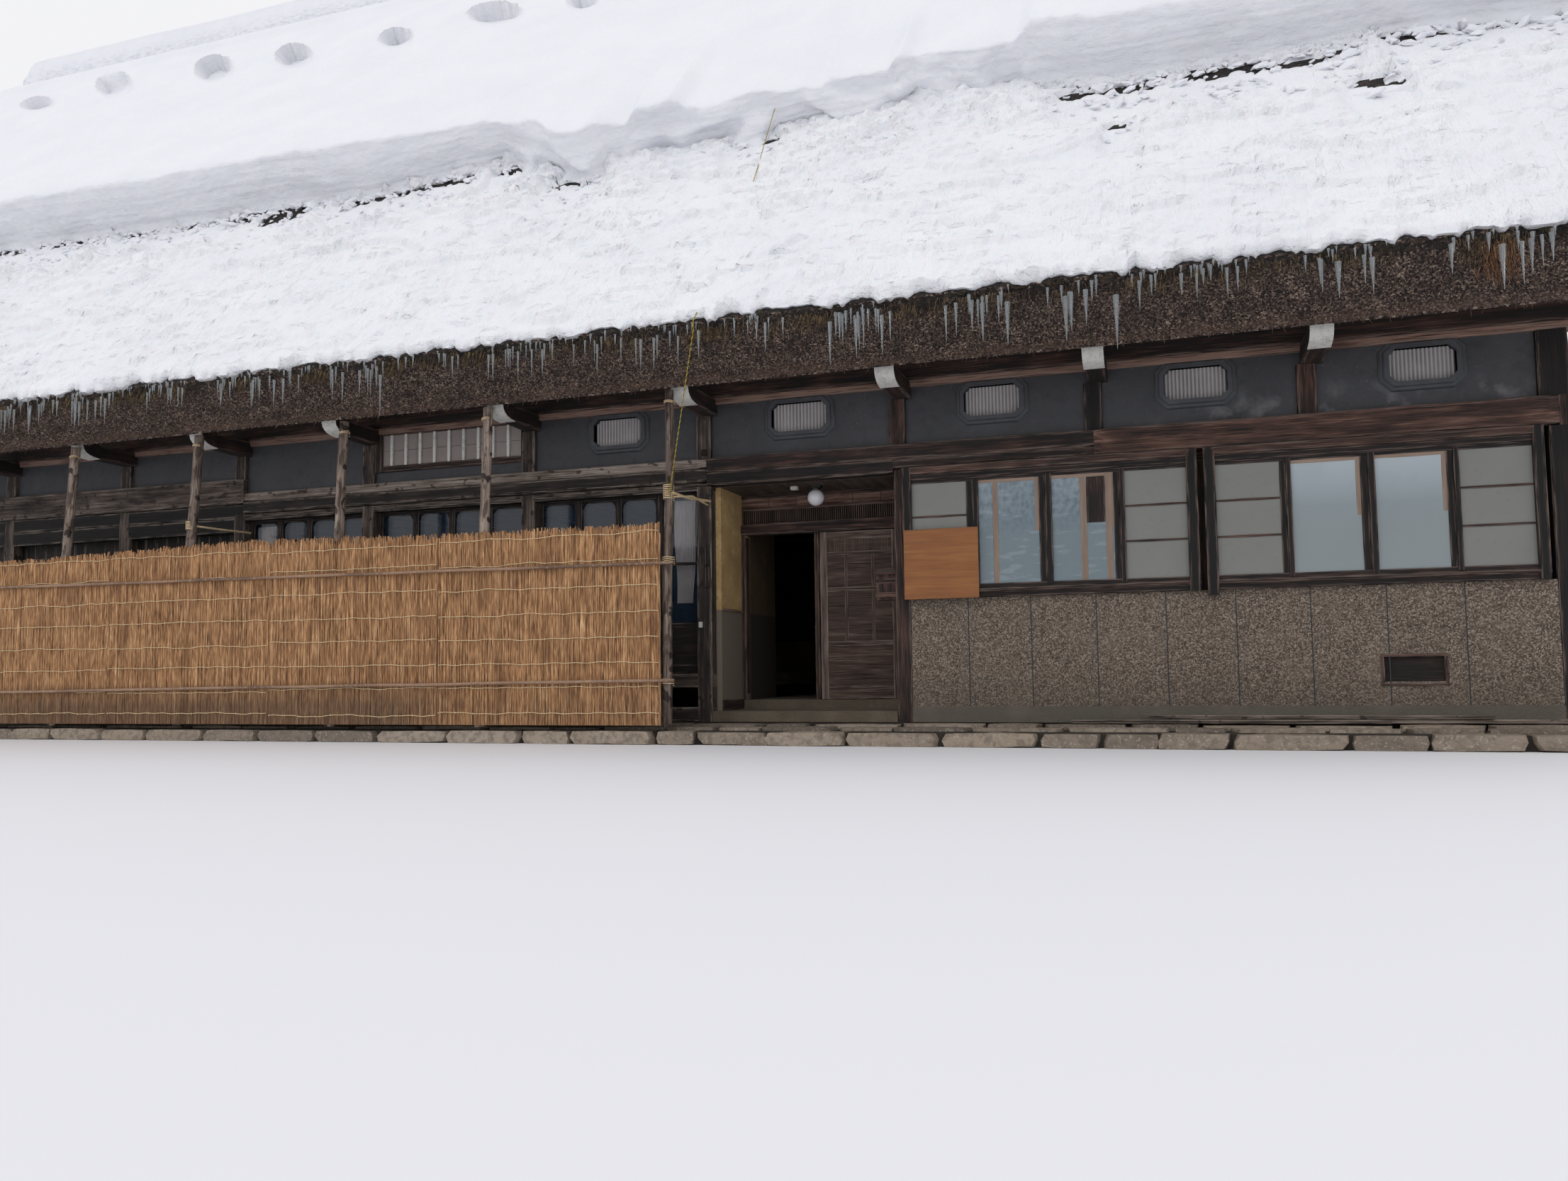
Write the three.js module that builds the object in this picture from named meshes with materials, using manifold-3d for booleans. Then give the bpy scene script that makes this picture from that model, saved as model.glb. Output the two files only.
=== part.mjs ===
// Minka farmhouse: a long timber house with a steep thatched roof, under a winter's snow.
//
// Millimetres, +Z up. +X runs to the right along the front wall, and +Y runs into the house, so the
// front faces -Y. The origin is on the ground under the middle of the house. The house is hollow: a
// ground floor of two rooms with an entrance hall between them, and an open attic above.

import * as THREE from 'three';
import * as BufferGeometryUtils from 'three/addons/utils/BufferGeometryUtils.js';
import Module from 'manifold-3d';

const wasm = await Module();
wasm.setup();

// Plan of the house
const HALF_LENGTH = 12145;
const HALF_DEPTH = 6400;
const CORNER_POST = 190;
const POST_WIDTH = 170;
const POST_DEPTH = 150;
const WALL_IN = 200;            // from the outer face of the posts to the inner face of the wall
const PLASTER_SETBACK = 50;
const TOUCH = 0.3;              // gap kept where a cut piece meets its neighbour

// Bays of the front, from the right-hand corner strut to the left-hand corner post
const CORNER_STRUT_X = 11965;
const BAY_WIDTHS = [1894, 1900, 1936, 2130, 2150, 2170, 1910, 1860, 2016, 2016, 2016, 2017];

// Heights above the ground
const PLINTH_TOP = 190;
const STEP_TOP = 300;
const HALL_FLOOR_TOP = 400;
const GROUND_SILL_TOP = 344;
const FLOOR_LOW = 550;
const FLOOR_TOP = 700;
const WINDOW_SILL_LOW = 1417;
const GLASS_LOW = 1548;
const GLASS_TOP = 2578;
const LINTEL_LOW = 2706;
const BEAM_LOW = 2746;
const BEAM_TOP = 3007;
const END_BEAM_LOW = 2872;
const END_BEAM_TOP = 3190;
const END_LINTEL_LOW = 2521;
const CROSS_BEAM_LOW = 3470;
const CROSS_BEAM_TOP = 3660;
const PLATE_LOW = 3590;
const PLATE_TOP = 3850;
const PURLIN_TOP = 3779;

// Reach of what lies outside the walls
const PLINTH_REACH = 900;
const PLINTH_SIDE_REACH = 600;
const PLINTH_UNDER_WALL = 300;
const BEAM_PROUD = 40;
const ARM_REACH = 750;
const PURLIN_WIDTH = 160;
const PLATE_END_REACH = 755;

// Entrance, between its left and right side walls
const ENTRANCE_LEFT = 4245;
const ENTRANCE_RIGHT = 6188;
const SIDE_WALL = 90;
const RECESS_DEPTH = 780;
const SCREEN_WALL = 120;
const SIDE_WALL_RUN = 1800;
const DOOR_LEFT = 5165;
const DOOR_WIDTH = 895;
const DOOR_THICKNESS = 30;
const DOOR_CLEARANCE = 5;
const DOOR_HEAD = 2250;
const JAMB_LEFT_WIDTH = 50;

// Front windows: panes in each of the two units, from left to right
const UNITS = [
  { name: 'left', x0: 6290, x1: 9095, panes: [[6382, 6929], [7053, 7635], [7760, 8335], [8440, 8994]] },
  { name: 'right', x0: 9150, x1: 11901, panes: [[9253, 9801], [9899, 10468], [10588, 11153], [11252, 11811]] },
];
const UNIT_PROUD = 80;
const RENDER_THICKNESS = 120;
const RIGHT_FRAME_DEPTH = 270;

// Small windows in the plaster band above the beam: centre and width
const BAND_WINDOWS_RIGHT = [[5182, 612], [7199, 562], [9111, 576], [11023, 551]];
const BAND_WINDOWS_LEFT = [[3076, 590]];
const BAND_WINDOW_LOW = 3230;
const BAND_WINDOW_TOP = 3540;
const BAND_WINDOW_CHAMFER = 60;
const WIDE_WINDOW = [0, 1840];

// Snow screen of reeds in front of the veranda
const SCREEN_RIGHT = 3995;
const SCREEN_LEFT = -6155;
const SCREEN_TOP = 2210;
const SCREEN_THICKNESS = 40;
const SCREEN_POST_RADIUS = 50;
const SCREEN_POST_REACH = 800;
const SCREEN_POST_TOP = 3600;
const SCREEN_POST_OFFSETS = [-50, -40, 260, 70, 0, -50];  // from the struts, right to left
const REAR_RAIL_RADIUS = 30;
const RAIL_RADIUS = 22;
const RAIL_HEIGHTS = { screen_rail_lower: 600, screen_rail_upper: 1840 };

// Roof: rise over run, the thickness of the thatch and of the snow that lies on it
const RISE = 1.15;
const PITCH = Math.atan(RISE);
const EAVE_REACH = 1500;
const EAVE_LIP = 4000;
const THATCH = 710;
const VERGE_REACH = 1000;
const VERGE_LEAN = 1100;
const RIDGE_COVER = 300;
const RIDGE_COVER_HALF = 900;
const RIDGE_COVER_TOP = 13350;
const SNOW_THIN = 110;
const SNOW_DEEP = 750;          // at the step
const SNOW_UPPER = 500;         // below the ridge
const SNOW_STEP = 4200;
const SNOW_STEP_LEAN = 80;
const SNOW_CAP_HALF = 650;
const SNOW_CAP_SHOULDER = 13350;
const SNOW_CAP_TOP = 13950;
const SNOW_VERGE_SETBACK = 100;

// Rope that leaves the deep snow, sinks into the thin snow, hangs over the eave and is tied to the
// first post of the screen
const ROPE_RADIUS = 6;
const ROPE_X = 4655;
const ROPE_OUT_HEIGHT = 310;    // over the thatch, where it leaves the step
const ROPE_DEPTH = 60;
const ROPE_SINK = 2800;         // where it reaches the thin snow
const ROPE_SUNK = 2200;         // where it lies at its full depth
const ROPE_BEND = 90;
const ROPE_NOTCH = 90;          // depth of the groove where the rope bends over the lip
const ROPE_TIE_HEIGHT = 2500;

const house = new THREE.Group();

// Materials

function material(color, roughness, metalness = 0) {
  return new THREE.MeshStandardMaterial({ color, roughness, metalness });
}

const oldCedar = material(0x3f322c, 0.8);
const greyCedar = material(0x5d534b, 0.85);
const slatePlaster = material(0x2f3136, 0.75);
const ochrePlaster = material(0x8a7a45, 0.9);
const aggregate = material(0x746a60, 0.9);
const stone = material(0x7a746a, 0.85);
const packedEarth = material(0x5c5144, 0.95);
const boards = material(0x4a3d35, 0.8);
const windowGlass = material(0x8f9ca2, 0.2);
const clayPlaster = material(0x8d8371, 0.9);
const reed = material(0xa57b4e, 0.9);
const bamboo = material(0x8a6b48, 0.6);
const logWood = material(0x6d5d50, 0.85);
const cloth = material(0x8b8781, 0.95);
const thatch = material(0x4c413b, 1);
const snow = material(0xe8e9ee, 0.7);
const lampGlass = material(0xd9dade, 0.3);
const signWood = material(0xb5671f, 0.5);
const ropeFibre = material(0x8c7d1e, 0.7);

// Solids

function solidOf(geometry) {
  geometry.deleteAttribute('normal');
  geometry.deleteAttribute('uv');
  const merged = BufferGeometryUtils.mergeVertices(geometry, 1e-3);
  return new wasm.Manifold(new wasm.Mesh({
    numProp: 3,
    vertProperties: new Float32Array(merged.attributes.position.array),
    triVerts: new Uint32Array(merged.index.array),
  }));
}

function block(x0, x1, y0, y1, z0, z1) {
  const geometry = new THREE.BoxGeometry(x1 - x0, y1 - y0, z1 - z0);
  geometry.translate((x0 + x1) / 2, (y0 + y1) / 2, (z0 + z1) / 2);
  return solidOf(geometry);
}

function shapeOf(points) {
  return new THREE.Shape(points.map(([a, b]) => new THREE.Vector2(a, b)));
}

// A profile given as (y, z) points, run along X
function alongX(points, x0, x1) {
  const geometry = new THREE.ExtrudeGeometry(shapeOf(points), { depth: x1 - x0, bevelEnabled: false });
  geometry.applyMatrix4(new THREE.Matrix4().makeBasis(
    new THREE.Vector3(0, 1, 0), new THREE.Vector3(0, 0, 1), new THREE.Vector3(1, 0, 0)));
  geometry.translate(x0, 0, 0);
  return solidOf(geometry);
}

// A profile given as (x, z) points, run along Y
function alongY(points, y0, y1) {
  const geometry = new THREE.ExtrudeGeometry(shapeOf(points), { depth: y1 - y0, bevelEnabled: false });
  geometry.applyMatrix4(new THREE.Matrix4().makeBasis(
    new THREE.Vector3(1, 0, 0), new THREE.Vector3(0, 0, 1), new THREE.Vector3(0, -1, 0)));
  geometry.translate(0, y1, 0);
  return solidOf(geometry);
}

// A round bar along one axis, from one end to the other
function bar(axis, radius, from, to, a, b, sides = 12) {
  const geometry = new THREE.CylinderGeometry(radius, radius, to - from, sides);
  const middle = (from + to) / 2;
  if (axis === 'x') {
    geometry.rotateZ(Math.PI / 2);
    geometry.translate(middle, a, b);
  } else {
    geometry.rotateX(Math.PI / 2);
    geometry.translate(a, b, middle);
  }
  return solidOf(geometry);
}

function join(solids) {
  return solids.reduce((sum, solid) => sum.add(solid));
}

function cut(solid, tools) {
  return tools.reduce((rest, tool) => rest.subtract(tool), solid);
}

function place(name, solid, finish) {
  const mesh = solid.getMesh();
  const geometry = new THREE.BufferGeometry();
  geometry.setAttribute('position', new THREE.BufferAttribute(new Float32Array(mesh.vertProperties), 3));
  geometry.setIndex(new THREE.BufferAttribute(new Uint32Array(mesh.triVerts), 1));
  geometry.computeVertexNormals();
  const piece = new THREE.Mesh(geometry, finish);
  piece.name = name;
  house.add(piece);
}

// Mirror a profile of (y, z) points to the back of the house, keeping its turning sense
function toBack(points) {
  return points.map(([y, z]) => [-y, z]).reverse();
}

// Post and strut positions along the front and back
const strutX = [CORNER_STRUT_X];
for (const width of BAY_WIDTHS) {
  strutX.push(strutX[strutX.length - 1] - width);
}
const [, STRUT_8, STRUT_7, STRUT_6, STRUT_5, STRUT_4, STRUT_3, STRUT_2, STRUT_1] = strutX;
const hiddenStruts = strutX.slice(9, 12);
const innerStruts = strutX.slice(1, 12);
const CROSS_BEAM_OFFSET = 50;
const CROSS_BEAM_HALF = 95;

const FRONT = -HALF_DEPTH;
const FRONT_IN = FRONT + WALL_IN;
const STRUT_BACK = FRONT + POST_DEPTH;
const CORNER_IN = HALF_LENGTH - CORNER_POST;
const HALF_POST = POST_WIDTH / 2;

function strut(x, z0, z1) {
  return block(x - HALF_POST, x + HALF_POST, FRONT, STRUT_BACK, z0, z1);
}

// Cross beams run through the house from eave to eave, under the attic floor. Their ends are the arms
// under the eaves, and they carry the two outer purlins.
function crossBeam(x, grow) {
  const centre = x + CROSS_BEAM_OFFSET;
  return block(centre - CROSS_BEAM_HALF - grow, centre + CROSS_BEAM_HALF + grow,
    FRONT - ARM_REACH - grow, -FRONT + ARM_REACH + grow, CROSS_BEAM_LOW - grow, CROSS_BEAM_TOP + grow);
}
const crossBeamCuts = innerStruts.map((x) => crossBeam(x, TOUCH));
const PURLIN_OUT = FRONT - ARM_REACH;

function buildAtticFloor() {
  const beams = innerStruts.map((x) => crossBeam(x, 0));
  const floorEnd = CORNER_IN - 15;
  const floor = block(-floorEnd, floorEnd, FRONT_IN, -FRONT_IN, CROSS_BEAM_TOP - 10, PLATE_TOP);
  place('attic_floor', join([floor, ...beams]), oldCedar);

  const purlin = (name, y0) => place(name, block(-HALF_LENGTH - PLATE_END_REACH,
    HALF_LENGTH + PLATE_END_REACH, y0, y0 + PURLIN_WIDTH, CROSS_BEAM_TOP, PURLIN_TOP), oldCedar);
  purlin('purlin_front', PURLIN_OUT);
  purlin('purlin_back', -PURLIN_OUT - PURLIN_WIDTH);
}

// Stone plinth and floors

function buildGround() {
  const outer = block(-HALF_LENGTH - PLINTH_SIDE_REACH, HALF_LENGTH + PLINTH_SIDE_REACH,
    FRONT - PLINTH_REACH, -FRONT + PLINTH_REACH, 0, PLINTH_TOP);
  const inner = block(-HALF_LENGTH + PLINTH_UNDER_WALL, HALF_LENGTH - PLINTH_UNDER_WALL,
    FRONT + PLINTH_UNDER_WALL, -FRONT - PLINTH_UNDER_WALL, -1, PLINTH_TOP + 1);
  place('stone_plinth', outer.subtract(inner), stone);

  const left = ENTRANCE_LEFT - SIDE_WALL;
  const right = ENTRANCE_RIGHT + SIDE_WALL;
  const plinthEdge = FRONT + PLINTH_UNDER_WALL;
  const hallFront = FRONT + RECESS_DEPTH;
  const hall = join([
    block(left, right, FRONT, plinthEdge, PLINTH_TOP, STEP_TOP),
    block(left, right, plinthEdge, hallFront, 0, STEP_TOP),
    block(left, right, hallFront, -FRONT - PLINTH_UNDER_WALL, 0, HALL_FLOOR_TOP),
  ]);
  place('hall_floor', cut(hall, [
    block(left, STRUT_5 + HALF_POST, FRONT - 1, STRUT_BACK, PLINTH_TOP, STEP_TOP + 1),
    block(ENTRANCE_RIGHT, right, FRONT - 1, FRONT + RIGHT_FRAME_DEPTH, PLINTH_TOP, STEP_TOP + 1),
  ]), packedEarth);

  const floorEnd = CORNER_IN - 15;
  place('room_floor_left', block(-floorEnd, left, STRUT_BACK, -FRONT_IN, FLOOR_LOW, FLOOR_TOP), boards);
  place('room_floor_right', block(right, floorEnd, FRONT_IN + 70, -FRONT_IN, FLOOR_LOW, FLOOR_TOP), boards);
}

// Beams over the front wall. Each carries the short struts that stand on it.

function buildBeams() {
  const y0 = FRONT - BEAM_PROUD;
  const endJoint = STRUT_2 + HALF_POST;
  const middleJoint = STRUT_5 + 45;
  const strutTop = CROSS_BEAM_LOW;
  const endStruts = [...hiddenStruts, STRUT_1, STRUT_2].map((x) => strut(x, END_BEAM_TOP, strutTop));
  place('beam_left_end', join([
    block(-CORNER_IN, endJoint, y0, STRUT_BACK, END_BEAM_LOW, END_BEAM_TOP), ...endStruts]), greyCedar);

  const leftStruts = [STRUT_3, STRUT_4, STRUT_5].map((x) => strut(x, BEAM_TOP, strutTop));
  place('beam_left', join([
    block(endJoint, middleJoint, y0, STRUT_BACK, BEAM_LOW, BEAM_TOP), ...leftStruts]), greyCedar);

  place('beam_middle', join([
    block(middleJoint, ENTRANCE_RIGHT, y0, STRUT_BACK, LINTEL_LOW, BEAM_TOP),
    block(ENTRANCE_RIGHT, STRUT_7, y0, STRUT_BACK, BEAM_LOW, BEAM_TOP),
    strut(STRUT_6, BEAM_TOP, strutTop)]), oldCedar);

  place('beam_right', join([
    block(STRUT_7, CORNER_IN + 80, y0, FRONT + 80, BEAM_LOW, BEAM_TOP),
    block(STRUT_7, CORNER_IN, FRONT + 80, STRUT_BACK, BEAM_LOW, BEAM_TOP),
    strut(STRUT_7, BEAM_TOP, strutTop), strut(STRUT_8, BEAM_TOP, strutTop)]), oldCedar);
}

// Plates on top of the front and back walls, notched over the cross beams

function plate(y0, y1) {
  const reach = HALF_LENGTH + PLATE_END_REACH;
  return cut(block(-reach, reach, y0, y1, PLATE_LOW, PLATE_TOP), crossBeamCuts);
}

// Timber frame of the front, left of the entrance

function buildFrontLeft() {
  const right = STRUT_5 + HALF_POST;
  const endJoint = STRUT_2 + HALF_POST;
  const rail = (x0, x1, z0, z1) => block(x0, x1, FRONT, STRUT_BACK, z0, z1);
  const endPosts = [...hiddenStruts, STRUT_1].map((x) => strut(x, PLINTH_TOP, END_BEAM_LOW));
  const posts = [STRUT_3, STRUT_4].map((x) => strut(x, PLINTH_TOP, BEAM_LOW));
  place('front_frame_left', join([
    block(-HALF_LENGTH, -CORNER_IN, FRONT, FRONT + CORNER_POST, PLINTH_TOP, PLATE_LOW),
    rail(-CORNER_IN, right, PLINTH_TOP, GROUND_SILL_TOP),
    rail(-CORNER_IN, right, FLOOR_LOW, FLOOR_TOP),
    rail(-CORNER_IN, endJoint, END_LINTEL_LOW, END_BEAM_LOW),
    rail(endJoint, right, GLASS_TOP, LINTEL_LOW),
    rail(endJoint, STRUT_5 + 45, LINTEL_LOW, BEAM_LOW),
    ...endPosts,
    strut(STRUT_2, PLINTH_TOP, END_BEAM_LOW),
    ...posts,
    strut(STRUT_5, PLINTH_TOP, LINTEL_LOW),
  ]), greyCedar);

  const leafBack = STRUT_BACK + 35;
  const leaf = (x0, x1, z1) => block(x0, x1, STRUT_BACK, leafBack, FLOOR_TOP, z1);
  place('veranda_glass_doors', leaf(endJoint, STRUT_5 - HALF_POST, LINTEL_LOW), windowGlass);
  place('rain_shutters', leaf(-CORNER_IN, endJoint - 1, END_BEAM_LOW), boards);
  place('veranda_curtain', block(3700, 3940, leafBack + TOUCH, leafBack + 8, 1450, LINTEL_LOW), cloth);
}

// Timber frame and the rendered wall under the windows, right of the entrance

function buildFrontRight() {
  const back = FRONT + RENDER_THICKNESS;
  const deep = FRONT + RIGHT_FRAME_DEPTH;
  const postRight = ENTRANCE_RIGHT + 160;
  const railEnd = CORNER_IN + 30;
  const corner = join([
    block(CORNER_IN, HALF_LENGTH, FRONT, FRONT + CORNER_POST, PLINTH_TOP, PLATE_LOW),
    block(CORNER_IN - 57, CORNER_IN, FRONT, STRUT_BACK, BEAM_TOP, PLATE_LOW),
  ]).subtract(block(CORNER_IN - 1, CORNER_IN + 80 + TOUCH, FRONT - 1, FRONT + 80 + TOUCH,
    BEAM_LOW - TOUCH, BEAM_TOP));
  place('front_frame_right', join([
    block(ENTRANCE_RIGHT, postRight, FRONT, deep, PLINTH_TOP, BEAM_LOW),
    block(UNITS[0].x1 - 55, UNITS[1].x0 + 55, back, deep, PLINTH_TOP, BEAM_LOW),
    block(ENTRANCE_RIGHT, railEnd, back, deep, PLINTH_TOP, GROUND_SILL_TOP),
    block(ENTRANCE_RIGHT, railEnd, back, deep, BEAM_LOW - 100, BEAM_LOW),
    corner,
  ]), oldCedar);

  const ventHole = block(10576, 11089, FRONT - 1, FRONT + 40, 555, 800);
  const render = join([
    block(postRight, CORNER_IN, FRONT - 20, back, PLINTH_TOP, GROUND_SILL_TOP),
    block(postRight, CORNER_IN, FRONT, back, GROUND_SILL_TOP, WINDOW_SILL_LOW),
  ]).subtract(ventHole);
  place('aggregate_wall', render, aggregate);

  for (const unit of UNITS) {
    const y0 = FRONT - UNIT_PROUD;
    const glassFace = FRONT - 30;
    const ring = block(unit.x0, unit.x1, y0, back, WINDOW_SILL_LOW, BEAM_LOW)
      .subtract(block(unit.x0 + 60, unit.x1 - 60, glassFace, back + 1, GLASS_LOW - 60, GLASS_TOP + 60));
    const holes = unit.panes.map(([x0, x1]) => block(x0, x1, y0 - 1, glassFace + 1, GLASS_LOW, GLASS_TOP));
    const post = block(ENTRANCE_RIGHT - 1, postRight + TOUCH, FRONT - TOUCH, deep, PLINTH_TOP, BEAM_LOW + 1);
    place(`window_frame_${unit.name}`, cut(ring, [...holes, post]), oldCedar);
    place(`window_glass_${unit.name}`, block(unit.x0 + 61, unit.x1 - 61, glassFace, glassFace + 6,
      GLASS_LOW - 59, GLASS_TOP + 59), windowGlass);
  }
}

// Dark plaster band above the beams, with its small eight-sided windows

function bandWindow([centre, width]) {
  const half = width / 2;
  const c = BAND_WINDOW_CHAMFER;
  return alongY([
    [centre - half + c, BAND_WINDOW_LOW], [centre + half - c, BAND_WINDOW_LOW],
    [centre + half, BAND_WINDOW_LOW + c], [centre + half, BAND_WINDOW_TOP - c],
    [centre + half - c, BAND_WINDOW_TOP], [centre - half + c, BAND_WINDOW_TOP],
    [centre - half, BAND_WINDOW_TOP - c], [centre - half, BAND_WINDOW_LOW + c],
  ], FRONT - 10, FRONT_IN + 10);
}

function buildBand() {
  const y0 = FRONT + PLASTER_SETBACK;
  const middle = STRUT_5 + HALF_POST;
  const endJoint = STRUT_2 + HALF_POST;
  const strutCut = (x) => block(x - HALF_POST - TOUCH, x + HALF_POST + TOUCH, FRONT, STRUT_BACK + TOUCH,
    BEAM_TOP - 1, CROSS_BEAM_LOW + 1);
  const wide = block(WIDE_WINDOW[0], WIDE_WINDOW[1], FRONT, FRONT_IN + 1, END_BEAM_TOP + 10, 3560);
  const left = join([
    block(-CORNER_IN, endJoint, y0, FRONT_IN, END_BEAM_TOP, PLATE_LOW),
    block(endJoint, middle, y0, FRONT_IN, BEAM_TOP, PLATE_LOW),
  ]);
  const leftStruts = [...hiddenStruts, STRUT_1, STRUT_2, STRUT_3, STRUT_4, STRUT_5];
  place('plaster_band_left', cut(left, [...leftStruts.map(strutCut), ...crossBeamCuts,
    ...BAND_WINDOWS_LEFT.map(bandWindow), wide]), slatePlaster);

  const right = block(middle, CORNER_IN - 57 - TOUCH, y0, FRONT_IN, BEAM_TOP, PLATE_LOW);
  place('plaster_band_right', cut(right, [strutCut(STRUT_5), strutCut(STRUT_6), strutCut(STRUT_7),
    strutCut(STRUT_8), ...crossBeamCuts, ...BAND_WINDOWS_RIGHT.map(bandWindow)]), slatePlaster);

  const sheet = (x0, x1) => cut(block(x0, x1, FRONT_IN, FRONT_IN + 6, 3195, 3565), crossBeamCuts);
  place('band_glass_left', sheet(-100, 3500), windowGlass);
  place('band_glass_right', sheet(4700, 11500), windowGlass);
}

// Entrance recess: side walls with their jambs, the wall above the door, soffit and small fittings

function buildEntrance() {
  const wallFront = FRONT + RECESS_DEPTH;
  const wallBack = wallFront + SCREEN_WALL;
  const left = ENTRANCE_LEFT - SIDE_WALL;
  const right = ENTRANCE_RIGHT + SIDE_WALL;
  place('entrance_side_wall_left', join([
    block(left, ENTRANCE_LEFT, STRUT_BACK, wallFront, STEP_TOP, LINTEL_LOW),
    block(left, ENTRANCE_LEFT, wallFront, STRUT_BACK + SIDE_WALL_RUN, HALL_FLOOR_TOP, LINTEL_LOW),
    block(ENTRANCE_LEFT, ENTRANCE_LEFT + JAMB_LEFT_WIDTH, wallFront, wallBack, HALL_FLOOR_TOP, DOOR_HEAD),
  ]), ochrePlaster);
  const jambRight = DOOR_LEFT + DOOR_WIDTH + DOOR_CLEARANCE;
  const postBack = FRONT + RIGHT_FRAME_DEPTH;
  place('entrance_side_wall_right', join([
    block(ENTRANCE_RIGHT, right, postBack, wallFront, STEP_TOP, LINTEL_LOW),
    block(ENTRANCE_RIGHT, right, wallFront, wallBack, HALL_FLOOR_TOP, LINTEL_LOW),
    block(jambRight, ENTRANCE_RIGHT, wallFront, wallBack, HALL_FLOOR_TOP, DOOR_HEAD),
  ]), oldCedar);
  place('entrance_transom',
    block(ENTRANCE_LEFT, ENTRANCE_RIGHT, wallFront, wallBack, DOOR_HEAD, LINTEL_LOW), oldCedar);
  place('entrance_soffit', block(left, right - SIDE_WALL, STRUT_BACK, wallBack, LINTEL_LOW, LINTEL_LOW + 30),
    boards);
  place('entrance_fixed_leaf', block(DOOR_LEFT, jambRight, wallFront + 60, wallFront + 60 + DOOR_THICKNESS,
    HALL_FLOOR_TOP, DOOR_HEAD), oldCedar);

  // The door slides to the left, on two runners that just clear the sill
  const doorBack = wallFront + 8 + DOOR_THICKNESS;
  const runnerY = wallFront + 8 + DOOR_THICKNESS / 2;
  const runner = (x) => block(x - 40, x + 40, runnerY - 6, runnerY + 6, HALL_FLOOR_TOP + TOUCH,
    HALL_FLOOR_TOP + DOOR_CLEARANCE);
  place('entrance_door', join([
    block(DOOR_LEFT, DOOR_LEFT + DOOR_WIDTH, wallFront + 8, doorBack, HALL_FLOOR_TOP + DOOR_CLEARANCE,
      DOOR_HEAD - DOOR_CLEARANCE),
    runner(DOOR_LEFT + 120), runner(DOOR_LEFT + DOOR_WIDTH - 120)]), oldCedar);

  const globe = new THREE.SphereGeometry(90, 20, 12);
  globe.rotateX(Math.PI / 2);
  globe.translate(5245, FRONT + 400, 2573);
  place('globe_lamp', solidOf(globe).add(bar('z', 28, 2650, LINTEL_LOW, 5245, FRONT + 400)), lampGlass);

  place('mailbox', alongX([
    [FRONT + 170, 1430], [FRONT + 320, 1430], [FRONT + 320, 1760], [FRONT + 150, 1720],
    [FRONT + 150, 1700], [FRONT + 170, 1700]], 5940, ENTRANCE_RIGHT), boards);
  place('name_board', block(6305, 7047, FRONT - UNIT_PROUD - 25, FRONT - UNIT_PROUD, 1410, 2110), signWood);
}

// Snow screen: log posts and hidden rear rails, the reed mat, and bamboo rails that hold it

function buildScreen() {
  const postY = FRONT - SCREEN_POST_REACH;
  const struts = [STRUT_5, STRUT_4, STRUT_3, STRUT_2, STRUT_1, ...hiddenStruts];
  const postX = SCREEN_POST_OFFSETS.map((offset, index) => struts[index] + offset);
  const posts = postX.map((x) => bar('z', SCREEN_POST_RADIUS, PLINTH_TOP, SCREEN_POST_TOP, x, postY));
  const lastPost = postX[postX.length - 1];
  const rearRails = Object.values(RAIL_HEIGHTS)
    .map((z) => bar('x', REAR_RAIL_RADIUS, lastPost, postX[0], postY, z));
  place('screen_posts', join([...posts, ...rearRails]), logWood);

  const matBack = postY - SCREEN_POST_RADIUS;
  const matFront = matBack - SCREEN_THICKNESS;
  place('reed_screen', block(SCREEN_LEFT, SCREEN_RIGHT, matFront, matBack, PLINTH_TOP, SCREEN_TOP), reed);
  for (const [name, z] of Object.entries(RAIL_HEIGHTS)) {
    place(name, bar('x', RAIL_RADIUS, SCREEN_LEFT, SCREEN_RIGHT, matFront - RAIL_RADIUS, z), bamboo);
  }
}

// Back wall, a plain repeat of the front: posts, beam and plate, clay infill and windows

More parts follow.
